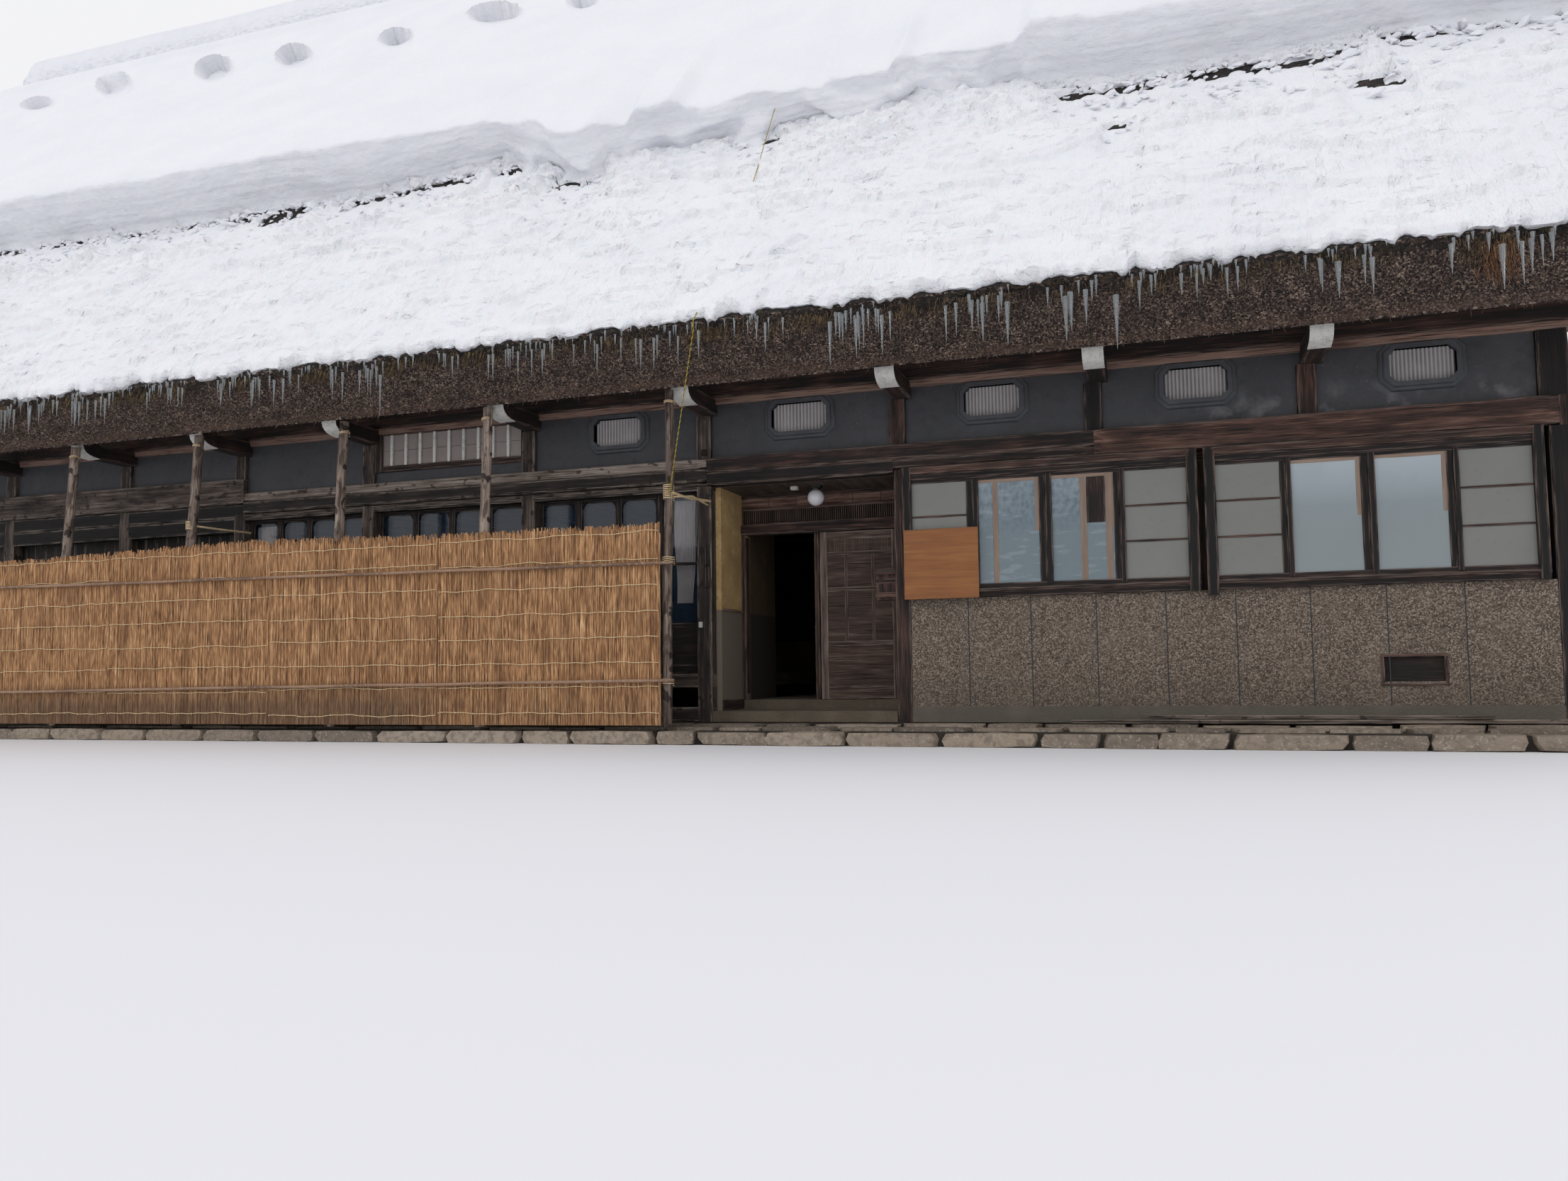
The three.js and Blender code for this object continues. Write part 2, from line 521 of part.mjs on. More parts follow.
function buildBack() {
  const y0 = -FRONT - POST_DEPTH;
  const posts = strutX.slice(1, 12)
    .map((x) => block(x - HALF_POST, x + HALF_POST, y0, -FRONT, PLINTH_TOP, CROSS_BEAM_LOW));
  const corners = [-HALF_LENGTH, CORNER_IN]
    .map((x) => block(x, x + CORNER_POST, -FRONT - CORNER_POST, -FRONT, PLINTH_TOP, PLATE_LOW));
  const frame = join([
    ...posts, ...corners,
    block(-CORNER_IN, CORNER_IN, y0, -FRONT, PLINTH_TOP, GROUND_SILL_TOP),
    block(-CORNER_IN, CORNER_IN, y0, -FRONT + BEAM_PROUD, BEAM_LOW, BEAM_TOP),
  ]);
  place('back_frame', frame, oldCedar);

  const frameCuts = [
    ...posts.map((post) => post.translate([TOUCH, -TOUCH, 0])),
    ...posts.map((post) => post.translate([-TOUCH, -TOUCH, 0])),
    block(-CORNER_IN, CORNER_IN, y0 - TOUCH, -FRONT, PLINTH_TOP, GROUND_SILL_TOP + TOUCH),
    block(-CORNER_IN, CORNER_IN, y0 - TOUCH, -FRONT, BEAM_LOW - TOUCH, BEAM_TOP + TOUCH),
  ];
  const holes = [];
  for (let bay = 0; bay < strutX.length - 1; bay += 1) {
    const centre = (strutX[bay] + strutX[bay + 1]) / 2;
    if (bay % 3 !== 2) {
      holes.push(block(centre - 700, centre + 700, -FRONT - 300, -FRONT + 1, WINDOW_SILL_LOW, GLASS_TOP));
    }
    holes.push(block(centre - 280, centre + 280, -FRONT - 300, -FRONT + 1, BAND_WINDOW_LOW, BAND_WINDOW_TOP));
  }
  const infill = block(-CORNER_IN + TOUCH, CORNER_IN - TOUCH, -FRONT_IN, -FRONT - PLASTER_SETBACK,
    PLINTH_TOP, PLATE_LOW);
  place('back_wall', cut(infill, [...frameCuts, ...crossBeamCuts, ...holes]), clayPlaster);
  place('back_glass', cut(block(-11700, 11700, -FRONT_IN - 6, -FRONT_IN, 1380, 3575), crossBeamCuts),
    windowGlass);
}

// Roof section in (y, z): the outer face of the thatch rises from the eave lip to the ridge
const LIP_Y = FRONT - EAVE_REACH;
const RIDGE_Z = EAVE_LIP - LIP_Y * RISE;
const INNER_LIP_Y = LIP_Y + THATCH * Math.sin(PITCH);
const INNER_LIP_Z = EAVE_LIP - THATCH * Math.cos(PITCH);

function innerZ(y) {
  return INNER_LIP_Z + RISE * (y - INNER_LIP_Y);
}

// A point on the front slope: u up the slope from the lip, t out from the thatch
function onSlope(u, t) {
  return [
    LIP_Y + u * Math.cos(PITCH) - t * Math.sin(PITCH),
    EAVE_LIP + u * Math.sin(PITCH) + t * Math.cos(PITCH),
  ];
}

// The gable ends lean outwards towards the ridge
function vergeOutline(setback) {
  const low = HALF_LENGTH + VERGE_REACH - setback;
  const lean = VERGE_LEAN / (RIDGE_Z - INNER_LIP_Z);
  const top = RIDGE_Z + 1500;
  const high = low + lean * (top - INNER_LIP_Z + 200);
  return alongY([[-low, INNER_LIP_Z - 200], [low, INNER_LIP_Z - 200], [high, top], [-high, top]],
    2 * LIP_Y, -2 * LIP_Y);
}
const ROOF_RUN = HALF_LENGTH + 3000;

function coverSection(grow) {
  const thatchZ = (y) => RIDGE_Z - RISE * Math.abs(y);
  const t = RIDGE_COVER + grow;
  const foot = RIDGE_COVER_HALF + grow;
  const outY = foot + t * Math.sin(PITCH);
  const outZ = thatchZ(foot) + t * Math.cos(PITCH);
  const flatHalf = (RIDGE_Z + t / Math.cos(PITCH) - RIDGE_COVER_TOP - grow) / RISE;
  const lift = TOUCH / Math.cos(PITCH) - grow;
  return [[0, RIDGE_Z + lift], [foot, thatchZ(foot) + lift], [outY, outZ], [flatHalf, RIDGE_COVER_TOP + grow],
    [-flatHalf, RIDGE_COVER_TOP + grow], [-outY, outZ], [-foot, thatchZ(foot) + lift]];
}

function buildRoof() {
  const outline = vergeOutline(0);
  const slab = [[LIP_Y, EAVE_LIP], [INNER_LIP_Y, INNER_LIP_Z], [0, innerZ(0)], [0, RIDGE_Z]];
  place('thatch_front', alongX(slab, -ROOF_RUN, ROOF_RUN).intersect(outline), thatch);
  place('thatch_back', alongX(toBack(slab), -ROOF_RUN, ROOF_RUN).intersect(outline), thatch);

  // Bed of poles and reeds between the plate, the outer purlin and the underside of the thatch
  const bedIn = FRONT + WALL_IN + 50;
  const bedOut = PURLIN_OUT + 10;
  const gap = TOUCH / Math.cos(PITCH);
  const bed = [[bedOut, PURLIN_TOP + TOUCH], [FRONT, PLATE_TOP], [bedIn, PLATE_TOP],
    [bedIn, innerZ(bedIn) - gap], [bedOut, innerZ(bedOut) - gap]];
  const reach = HALF_LENGTH + PLATE_END_REACH;
  place('eave_bed_front', alongX(bed, -reach, reach), boards);
  place('eave_bed_back', alongX(toBack(bed), -reach, reach), boards);

  const cover = alongX(coverSection(0), -ROOF_RUN, ROOF_RUN).intersect(vergeOutline(0));
  place('ridge_cover', cover, thatch);
}

// Snow on the roof: thin where it has slid, deep above the step, and a cap along the ridge

function buildSnow() {
  const outline = vergeOutline(SNOW_VERGE_SETBACK);
  const coverCut = alongX(coverSection(TOUCH + 0.1), -ROOF_RUN, ROOF_RUN);
  const endZ = RIDGE_Z - RISE * SNOW_CAP_HALF;
  const slab = [
    onSlope(-15, TOUCH), [-SNOW_CAP_HALF, endZ + TOUCH / Math.cos(PITCH)],
    [-SNOW_CAP_HALF, endZ + SNOW_UPPER / Math.cos(PITCH)],
    onSlope(SNOW_STEP, SNOW_DEEP), onSlope(SNOW_STEP - SNOW_STEP_LEAN, SNOW_THIN), onSlope(-15, SNOW_THIN)];
  const grooveFloor = SNOW_THIN - ROPE_DEPTH;
  const groove = [[-60, SNOW_THIN - ROPE_NOTCH], [120, SNOW_THIN - ROPE_NOTCH], [200, grooveFloor],
    [ROPE_SUNK, grooveFloor], [ROPE_SINK, SNOW_THIN - 15], [ROPE_SINK + 60, SNOW_THIN + 1],
    [-60, SNOW_THIN + 1]]
    .map(([u, t]) => onSlope(u, t));
  const grooveHalf = ROPE_RADIUS + 4;
  place('roof_snow_front', cut(alongX(slab, -ROOF_RUN, ROOF_RUN),
    [coverCut, alongX(groove, ROPE_X - grooveHalf, ROPE_X + grooveHalf)]).intersect(outline), snow);
  place('roof_snow_back',
    alongX(toBack(slab), -ROOF_RUN, ROOF_RUN).subtract(coverCut).intersect(outline), snow);

  // The cap sits over the ridge cover, with a low cliff on each side and a rounded top
  const half = SNOW_CAP_HALF - TOUCH;
  const sink = 200;
  const cap = [[-half, endZ + sink], [0, RIDGE_Z + sink], [half, endZ + sink]];
  const steps = 8;
  for (let step = 0; step <= steps; step += 1) {
    const angle = (Math.PI * step) / steps;
    cap.push([half * Math.cos(angle),
      SNOW_CAP_SHOULDER + (SNOW_CAP_TOP - SNOW_CAP_SHOULDER) * Math.sin(angle)]);
  }
  place('roof_snow_ridge',
    alongX(cap, -ROOF_RUN, ROOF_RUN).subtract(coverCut).intersect(outline), snow);
}

function buildRope() {
  const lie = SNOW_THIN - ROPE_DEPTH + ROPE_RADIUS + TOUCH;
  const point = ([y, z]) => new THREE.Vector3(ROPE_X, y, z);
  const out = [[SNOW_STEP - SNOW_STEP_LEAN, ROPE_OUT_HEIGHT], [3450, 215], [ROPE_SINK, 120], [2500, 82],
    [2250, 64], [2000, 58]].map(([u, t]) => point(onSlope(u, t)));
  const sunk = [1750, 1400, 800, 400, 120].map((u) => point(onSlope(u, lie)));
  const bend = [0, 22, 44, 66].map((degrees) => {
    const angle = THREE.MathUtils.degToRad(degrees);
    return point(onSlope(-16 - ROPE_BEND * Math.sin(angle), lie - ROPE_BEND * (1 - Math.cos(angle))));
  });
  const edge = bend[bend.length - 1];
  const reach = SCREEN_POST_RADIUS + ROPE_RADIUS + TOUCH;
  const tie = new THREE.Vector3(STRUT_5 + SCREEN_POST_OFFSETS[0] + reach / 2,
    FRONT - SCREEN_POST_REACH - reach * Math.sin(Math.PI / 3), ROPE_TIE_HEIGHT);
  const hanging = [0.08, 0.25, 0.5, 0.75, 1].map((share) => edge.clone().lerp(tie, share));
  const path = new THREE.CatmullRomCurve3([...out, ...sunk, ...bend, ...hanging]);
  const sides = 8;
  const ring = shapeOf(Array.from({ length: sides }, (_, side) => {
    const angle = (2 * Math.PI * side) / sides;
    return [ROPE_RADIUS * Math.cos(angle), ROPE_RADIUS * Math.sin(angle)];
  }));
  const rope = new THREE.ExtrudeGeometry(ring, { steps: 80, bevelEnabled: false, extrudePath: path });
  place('roof_rope', solidOf(rope), ropeFibre);
}

// Gable ends: posts, beams and collars in front of clay infill, with rows of windows

function gableOutline(x0, x1) {
  const inY = FRONT + WALL_IN;
  const bedIn = inY + 50;
  return alongX([[inY, PLINTH_TOP], [-inY, PLINTH_TOP], [-inY, PLATE_TOP], [-bedIn - TOUCH, PLATE_TOP],
    [-bedIn - TOUCH, innerZ(bedIn) - 1], [0, innerZ(0) - 1], [bedIn + TOUCH, innerZ(bedIn) - 1],
    [bedIn + TOUCH, PLATE_TOP], [inY, PLATE_TOP]], x0, x1);
}

function buildGable(side, sign) {
  const span = (near, far) => (sign > 0 ? [near, far] : [-far, -near]);
  const wallBlock = ([x0, x1], y0, y1, z0, z1) => block(x0, x1, y0, y1, z0, z1);
  const frameX = span(HALF_LENGTH - 120, HALF_LENGTH);
  const inY = FRONT + WALL_IN;
  const posts = [-4200, -2100, 0, 2100, 4200];
  const levels = [[PLINTH_TOP, GROUND_SILL_TOP], [BEAM_LOW, BEAM_TOP], [PLATE_LOW, PLATE_TOP],
    [6450, 6620], [9250, 9400]];
  const frameAt = (grow) => join([
    ...posts.map((y) => wallBlock([frameX[0] - grow, frameX[1] + grow], y - HALF_POST - grow,
      y + HALF_POST + grow, PLINTH_TOP, RIDGE_Z)),
    ...levels.map(([z0, z1]) => wallBlock([frameX[0] - grow, frameX[1] + grow], inY, -inY,
      z0 - (z0 > PLINTH_TOP ? grow : 0), z1 + grow)),
  ]);
  place(`gable_frame_${side}`, frameAt(0).intersect(gableOutline(...frameX)), oldCedar);

  const infillX = span(HALF_LENGTH - 160, HALF_LENGTH - 40);
  const holes = [];
  for (let bay = 0; bay < posts.length - 1; bay += 1) {
    const centre = (posts[bay] + posts[bay + 1]) / 2;
    const hole = (half, z0, z1) => block(infillX[0] - 50, infillX[1] + 50, centre - half, centre + half, z0, z1);
    holes.push(hole(700, WINDOW_SILL_LOW, GLASS_TOP), hole(600, 4500, 5700));
    if (bay === 1 || bay === 2) {
      holes.push(hole(550, 7200, 8300));
    }
  }
  place(`gable_wall_${side}`, cut(gableOutline(...infillX), [frameAt(TOUCH), ...holes]), clayPlaster);

  const glass = [[-4000, 1380], [4000, 1380], [4000, 5800], [1850, 8400], [-1850, 8400], [-4000, 5800]];
  const glassX = span(HALF_LENGTH - 166, HALF_LENGTH - 160);
  place(`gable_glass_${side}`, alongX(glass, ...glassX), windowGlass);
}

buildGround();
buildBeams();
place('wall_plate_front', plate(FRONT, FRONT_IN), oldCedar);
place('wall_plate_back', plate(-FRONT_IN, -FRONT), oldCedar);
buildAtticFloor();
buildFrontLeft();
buildFrontRight();
buildBand();
buildEntrance();
buildScreen();
buildBack();
buildGable('left', -1);
buildGable('right', 1);
buildRoof();
buildSnow();
buildRope();

export default house;
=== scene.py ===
import math
import random

import bpy
from mathutils import Matrix, Vector, noise


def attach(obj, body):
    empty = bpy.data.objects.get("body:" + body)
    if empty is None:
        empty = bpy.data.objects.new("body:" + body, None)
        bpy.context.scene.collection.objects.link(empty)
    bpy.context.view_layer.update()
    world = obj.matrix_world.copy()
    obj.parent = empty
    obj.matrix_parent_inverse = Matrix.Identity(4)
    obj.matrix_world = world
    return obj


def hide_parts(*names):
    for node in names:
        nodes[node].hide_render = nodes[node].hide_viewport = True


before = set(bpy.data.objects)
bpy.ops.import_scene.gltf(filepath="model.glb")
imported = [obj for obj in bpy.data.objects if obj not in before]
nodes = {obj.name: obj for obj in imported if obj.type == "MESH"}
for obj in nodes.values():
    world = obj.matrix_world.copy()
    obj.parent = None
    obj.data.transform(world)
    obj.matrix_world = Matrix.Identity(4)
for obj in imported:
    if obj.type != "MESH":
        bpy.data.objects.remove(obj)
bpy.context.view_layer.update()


# The place the farmhouse is seen from: low over the yard, a little right of the entrance, with a wide
# lens turned left and tilted up under the eaves.
CAMERA_PLACE = (8.745, -17.75, 0.70)


def shown(name, data):
    """An object of the data, put into the scene."""
    made = bpy.data.objects.new(name, data)
    bpy.context.scene.collection.objects.link(made)
    return made


camera = shown("camera", bpy.data.cameras.new("camera"))
camera.data.lens, camera.data.sensor_width = 26.365, 36
camera.data.clip_end = 400
heading, tilt, roll = (math.radians(angle) for angle in (18.24797, 4.08739, -0.69956))
camera.matrix_world = (Matrix.Translation(CAMERA_PLACE) @ Matrix.Rotation(heading, 4, "Z")
                       @ Matrix.Rotation(math.radians(90) + tilt, 4, "X") @ Matrix.Rotation(roll, 4, "Z"))
bpy.context.scene.camera = camera
bpy.context.scene.view_settings.view_transform = "Standard"


# The rope that comes out of the deep snow, sinks into the thin snow, hangs over the eave and is tied to
# the first log post. Twisted polyethylene, two yellow strands and a black one, 12 mm across. Both its
# ends are held, so it is a fixed line of the roof.
class Build:
    """Gathers the points and faces of one piece, with the run of its grain, its tone and its worn edges."""

    def __init__(self):
        self.points, self.faces, self.grain, self.tone, self.edge = [], [], [], [], []

    def put(self, points, faces, grain=None, tone=0.5, edge=None):
        start = len(self.points)
        self.points += [tuple(point) for point in points]
        self.faces += [[start + corner for corner in face] for face in faces]
        self.grain += grain or [tuple(point) for point in points]
        self.tone += tone if isinstance(tone, list) else [tone] * len(points)
        self.edge += edge or [0.0] * len(points)

    def piece(self, name, finish, crease=35):
        """The mesh as an object, smooth but for its edges sharper than the crease, in degrees."""
        mesh = bpy.data.meshes.new(name)
        mesh.from_pydata(self.points, [], self.faces)
        mesh.attributes.new("grain", "FLOAT_VECTOR", "POINT").data.foreach_set(
            "vector", [part for vector in self.grain for part in vector])
        for fact, values in (("tone", self.tone), ("edge", self.edge)):
            mesh.attributes.new(fact, "FLOAT", "POINT").data.foreach_set("value", values)
        mesh.materials.append(finish)
        mesh.shade_smooth()
        mesh.set_sharp_from_angle(angle=math.radians(crease))
        return shown(name, mesh)


def flowing(points, parts):
    """A smooth line through the points, with that many parts between each two."""
    points = [Vector(point) for point in points]
    points = [2 * points[0] - points[1]] + points + [2 * points[-1] - points[-2]]
    line = []
    for a, b, c, d in zip(points, points[1:], points[2:], points[3:]):
        times = [0.0]
        for near, far in ((a, b), (b, c), (c, d)):
            times.append(times[-1] + max((far - near).length, 1e-6) ** 0.5)
        t0, t1, t2, t3 = times
        for part in range(parts):
            t = t1 + (t2 - t1) * part / parts
            ab = a.lerp(b, (t - t0) / (t1 - t0))
            bc = b.lerp(c, (t - t1) / (t2 - t1))
            cd = c.lerp(d, (t - t2) / (t3 - t2))
            line.append(ab.lerp(bc, (t - t0) / (t2 - t0)).lerp(bc.lerp(cd, (t - t1) / (t3 - t1)),
                                                               (t - t1) / (t2 - t1)))
    return line + [points[-2]]


def frames_along(path):
    """For each point of the path, two directions across it that don't twist."""
    across = None
    for number, point in enumerate(path):
        run = (path[min(number + 1, len(path) - 1)] - path[max(number - 1, 0)]).normalized()
        if across is None:
            across = run.orthogonal().normalized()
        across = (across - across.dot(run) * run).normalized()
        yield point, across, run.cross(across)


def tube(build, path, radius, sides=8, tone=0.5, rough=0.0):
    """A round bar along the path. radius is one number or one for each point."""
    path = [Vector(point) for point in path]
    radii = radius if isinstance(radius, list) else [radius] * len(path)
    points, grain, run, seed = [], [], 0.0, random.random() * 40
    for number, (point, across, over) in enumerate(frames_along(path)):
        run += (point - path[max(number - 1, 0)]).length
        for side in range(sides):
            angle = 2 * math.pi * side / sides
            spoke = math.cos(angle) * across + math.sin(angle) * over
            reach = radii[number] * (1 + rough * noise.noise((point + spoke * 0.1) * 7))
            points.append(point + spoke * reach)
            grain.append((run + seed, spoke.x * reach, spoke.y * reach))
    rings = [range(start, start + sides) for start in range(0, len(points), sides)]
    faces = [(near[side], near[(side + 1) % sides], far[(side + 1) % sides], far[side])
             for near, far in zip(rings, rings[1:]) for side in range(sides)]
    build.put(points, faces + [tuple(reversed(rings[0])), tuple(rings[-1])], grain, tone)


def tint(code):
    """An sRGB hex colour as linear red, green, blue and alpha."""
    shares = [int(code[place:place + 2], 16) / 255 for place in (1, 3, 5)]
    return (*(c / 12.92 if c <= 0.04045 else ((c + 0.055) / 1.055) ** 2.4 for c in shares), 1.0)


def add(owner, kind, inputs=None, stops=(), **settings):
    """Adds a node with its settings to a material or a tree. An input is a value, or the node or socket
    that it is linked to."""
    tree = getattr(owner, "node_tree", owner)
    node = tree.nodes.new(kind)
    for name, value in settings.items():
        setattr(node, name, value)
    for place, code in stops[2:]:
        node.color_ramp.elements.new(place)
    for number, (place, code) in enumerate(stops):
        element = node.color_ramp.elements[number]
        element.position, element.color = place, tint(code)
    for key, value in (inputs or {}).items():
        if isinstance(value, bpy.types.Node):
            value = value.outputs[2 if value.bl_idname == "ShaderNodeMix" else 0]
        if isinstance(value, bpy.types.NodeSocket):
            tree.links.new(value, node.inputs[key])
        else:
            node.inputs[key].default_value = value
    return node


def start_finish(name, code, roughness, **values):
    """A new material of one colour, to which patterns are added."""
    finish = bpy.data.materials.new(name)
    finish.use_nodes = True
    inputs = finish.node_tree.nodes["Principled BSDF"].inputs
    inputs["Base Color"].default_value = tint(code)
    inputs["Roughness"].default_value = roughness
    for key, value in values.items():
        inputs[key.replace("_", " ")].default_value = value
    return finish


def patches(finish, size_mm, low=0.4, high=0.6, stretch=(1, 1, 1), place=None, shift=0.0, most=1.0, detail=3):
    """A share from 0 to most in soft patches of about size_mm, drawn out along each axis by its stretch."""
    place = place or add(finish, "ShaderNodeTexCoord").outputs["Object"]
    scale = [1000 / size_mm / share for share in stretch]
    sized = add(finish, "ShaderNodeMapping", {"Vector": place, "Location": (shift,) * 3, "Scale": scale})
    cloud = add(finish, "ShaderNodeTexNoise", {"Vector": sized, "Scale": 1.0, "Detail": detail})
    return add(finish, "ShaderNodeMapRange",
               {"Value": cloud, "From Min": low, "From Max": high, "To Max": most})


def lay(finish, share, code, *limits):
    """Lays a colour, or the colour of a node, over what the finish has, as much as the share says. Each
    limit is one more share, and holds it back where it is low."""
    base = finish.node_tree.nodes["Principled BSDF"].inputs["Base Color"]
    under = base.links[0].from_socket if base.links else tuple(base.default_value)
    over = tint(code) if isinstance(code, str) else code
    for limit in limits:
        share = add(finish, "ShaderNodeMath", {0: share, 1: limit}, operation="MULTIPLY")
    mix = add(finish, "ShaderNodeMix", {0: share, 6: under, 7: over}, data_type="RGBA")
    finish.node_tree.links.new(mix.outputs[2], base)


def mottle(finish, code, size_mm, *spread, **more):
    """Lays a colour over the finish in soft patches."""
    lay(finish, patches(finish, size_mm, *spread, **more), code)


def settle(piece, slot, *replaced, body="house"):
    """Puts a finished piece on its body, with the CAD nodes it stands for. The slot is not used."""
    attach(piece, body)
    if replaced:
        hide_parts(*replaced)
    return piece


EAVE_LIP = (-7.9, 4.0)
SLOPE_RUN, SLOPE_RISE = 0.65616, 0.75462
THATCH_DEPTH = 0.71


def on_slope(x, up, out, side=-1):
    """A point of the roof: up the slope from the lip, and out from the thatch. side is 1 at the back."""
    y = EAVE_LIP[0] + up * SLOPE_RUN - out * SLOPE_RISE
    return Vector((x, y if side < 0 else -y, EAVE_LIP[1] + up * SLOPE_RISE + out * SLOPE_RUN))


random.seed(1)
ROPE_X, ROPE_SUNK, LIP_BEND = 4.655, 0.0563, 0.09
STRAND, STRAND_OFFSET, ROPE_PITCH = 0.0030, 0.0029, 0.06
ROPE_TIE = Vector((4.08315, -7.24876, 2.5))
rope_line = [on_slope(ROPE_X, up, out) for up, out in (
    (4.12, 0.31), (3.45, 0.215), (2.8, 0.12), (2.5, 0.082), (2.25, 0.064), (2.0, 0.058))]
rope_line += [on_slope(ROPE_X, up, ROPE_SUNK) for up in (1.75, 1.4, 0.8, 0.4, 0.12)]
for degrees in (0, 22, 44, 66):
    angle = math.radians(degrees)
    rope_line.append(on_slope(ROPE_X, -0.016 - LIP_BEND * math.sin(angle),
                              ROPE_SUNK - LIP_BEND * (1 - math.cos(angle))))
rope_edge = rope_line[-1]
rope_line += [rope_edge.lerp(ROPE_TIE, share) for share in (0.08, 0.25, 0.5, 0.75, 1)]
rope_path = flowing(rope_line, 40)
rope, run, last = Build(), 0.0, rope_path[0]
strands = ([], [], [])
for point, across, over in frames_along(rope_path):
    run += (point - last).length
    last = point
    for number, strand in enumerate(strands):
        angle = 2 * math.pi * (run / ROPE_PITCH + number / 3)
        strand.append(point + STRAND_OFFSET * (math.cos(angle) * across + math.sin(angle) * over))
for number, strand in enumerate(strands):
    tube(rope, strand, STRAND, 4, tone=0.0 if number == 0 else 1.0)

# Twisted polyethylene: slightly waxy strands, faded yellow and black
tiger_rope = start_finish("twisted_polyethylene", "#1c1b17", 0.45)
lay(tiger_rope, add(tiger_rope, "ShaderNodeAttribute", attribute_name="tone").outputs["Fac"], "#c4ae2c")
mottle(tiger_rope, "#7d6f28", 9, most=0.35)
settle(rope.piece("roof_rope_strands", tiger_rope), "rope", "roof_rope")


# The plinth: flat field stones laid dry on a bed of earth and lime, all round the house, in three rows
# along the front and back, each a little lower than the one behind, with their outer faces left rough.
def crust(build, counts, place, tone=0.5):
    """A closed body from a box of cells; place(a, b, c), each from 0 to 1, gives its surface points."""
    points, tones, at = [], [], {}

    def corner(*key):
        if key not in at:
            at[key] = len(points)
            points.append(place(*(number / count for number, count in zip(key, counts))))
            tones.append(tone(*(number / count for number, count in zip(key, counts)))
                         if callable(tone) else tone)
        return at[key]

    faces = []
    for fixed in range(3):
        first, second = (fixed + 1) % 3, (fixed + 2) % 3
        for end in (0, counts[fixed]):
            for i in range(counts[first]):
                for j in range(counts[second]):
                    quad = []
                    for di, dj in ((0, 0), (1, 0), (1, 1), (0, 1)):
                        key = [0, 0, 0]
                        key[fixed], key[first], key[second] = end, i + di, j + dj
                        quad.append(corner(*key))
                    faces.append(quad if end else quad[::-1])
    build.put(points, faces, None, tones)


def field_stone(build, low, high, cells, rough=0.014):
    """One stone that fills the box between two corners, rounded and rough."""
    middle, half = (Vector(low) + Vector(high)) / 2, (Vector(high) - Vector(low)) / 2
    seed = Vector((random.random(), random.random(), random.random())) * 50
    skew, tilt = random.uniform(-0.10, 0.10), random.uniform(-0.07, 0.07)

    def place(a, b, c):
        s = Vector((2 * a - 1, 2 * b - 1, 2 * c - 1))
        worn = 1 - 0.03 * (s.x * s.x * s.y * s.y) - 0.035 * (s.z * s.z * (s.x * s.x + s.y * s.y))
        s = Vector((s.x * worn + skew * s.y + tilt * s.z, s.y * worn, s.z * worn))
        point = middle + Vector((s.x * half.x, s.y * half.y, s.z * half.z)) * 0.995
        bump = (noise.noise_vector(point * 4 + seed) * rough
                + noise.noise_vector(point * 13 + seed) * rough * 0.5)
        if c > 0.99:
            bump.z = min(bump.z, 0) * 0.5
        moved = point + bump
        moved.z = min(max(moved.z, 0.002), PLINTH_TOP - 0.0005)
        return moved

    crust(build, cells, place, random.random())


random.seed(11)
noise.seed_set(11)
PLINTH_X, PLINTH_Y, PLINTH_TOP, STONE_LENGTHS, PLINTH_END = 12.745, 7.3, 0.19, (0.42, 0.95), 0.9
STONE_ROWS = ((0.0, 0.30, 0.138, (6, 3, 2)), (0.31, 0.58, 0.172, (5, 3, 1)), (0.59, 0.88, 0.19, (4, 3, 1)))
stones = Build()
for side in (-1, 1):
    for near, far, high, cells in STONE_ROWS:
        x = -PLINTH_X
        while x < PLINTH_X - 0.25:
            length = min(random.uniform(*STONE_LENGTHS), PLINTH_X - x)
            inner = PLINTH_Y - far + random.uniform(-0.03, 0.03)
            outer = PLINTH_Y - near - (random.uniform(0, 0.05) if near == 0 else 0)
            y0, y1 = (-outer, -inner) if side < 0 else (inner, outer)
            field_stone(stones, (x, y0, 0.0), (x + length - 0.014, y1, high - random.uniform(0, 0.012)),
                        cells)
            x += length
    y = -PLINTH_Y + PLINTH_END
    while y < PLINTH_Y - 1.1:
        length = min(random.uniform(*STONE_LENGTHS), PLINTH_Y - PLINTH_END - y)
        x0, x1 = (-PLINTH_X, -PLINTH_X + 0.57) if side < 0 else (PLINTH_X - 0.57, PLINTH_X)
        field_stone(stones, (x0, y, 0.0), (x1, y + length - 0.018, random.uniform(0.168, 0.19)), (4, 5, 3))
        y += length
bed = Build()


def slab(build, low, high, tone=0.5):
    """A plain closed box, for what is hidden or flat."""
    low, high = Vector(low), Vector(high)
    crust(build, (1, 1, 1), lambda a, b, c: (low.x + (high.x - low.x) * a, low.y + (high.y - low.y) * b,
                                             low.z + (high.z - low.z) * c), tone)


for side in (-1, 1):
    for x, (y0, y1), z0, z1 in ((PLINTH_X - 0.09, (6.1, 7.19), 0.0, 0.13),
                                (12.13, (6.12, 6.39), 0.12, PLINTH_TOP - 0.0005)):
        y0, y1 = sorted((side * y0, side * y1))
        slab(bed, (-x, y0, z0), (x, y1, z1))
    for (x0, x1), y, z0, z1 in (((11.845, 12.65), 6.1, 0.0, 0.13),
                                ((11.86, 12.13), 6.11, 0.12, PLINTH_TOP - 0.0005)):
        x0, x1 = sorted((side * x0, side * x1))
        slab(bed, (x0, -y, z0), (x1, y, z1))


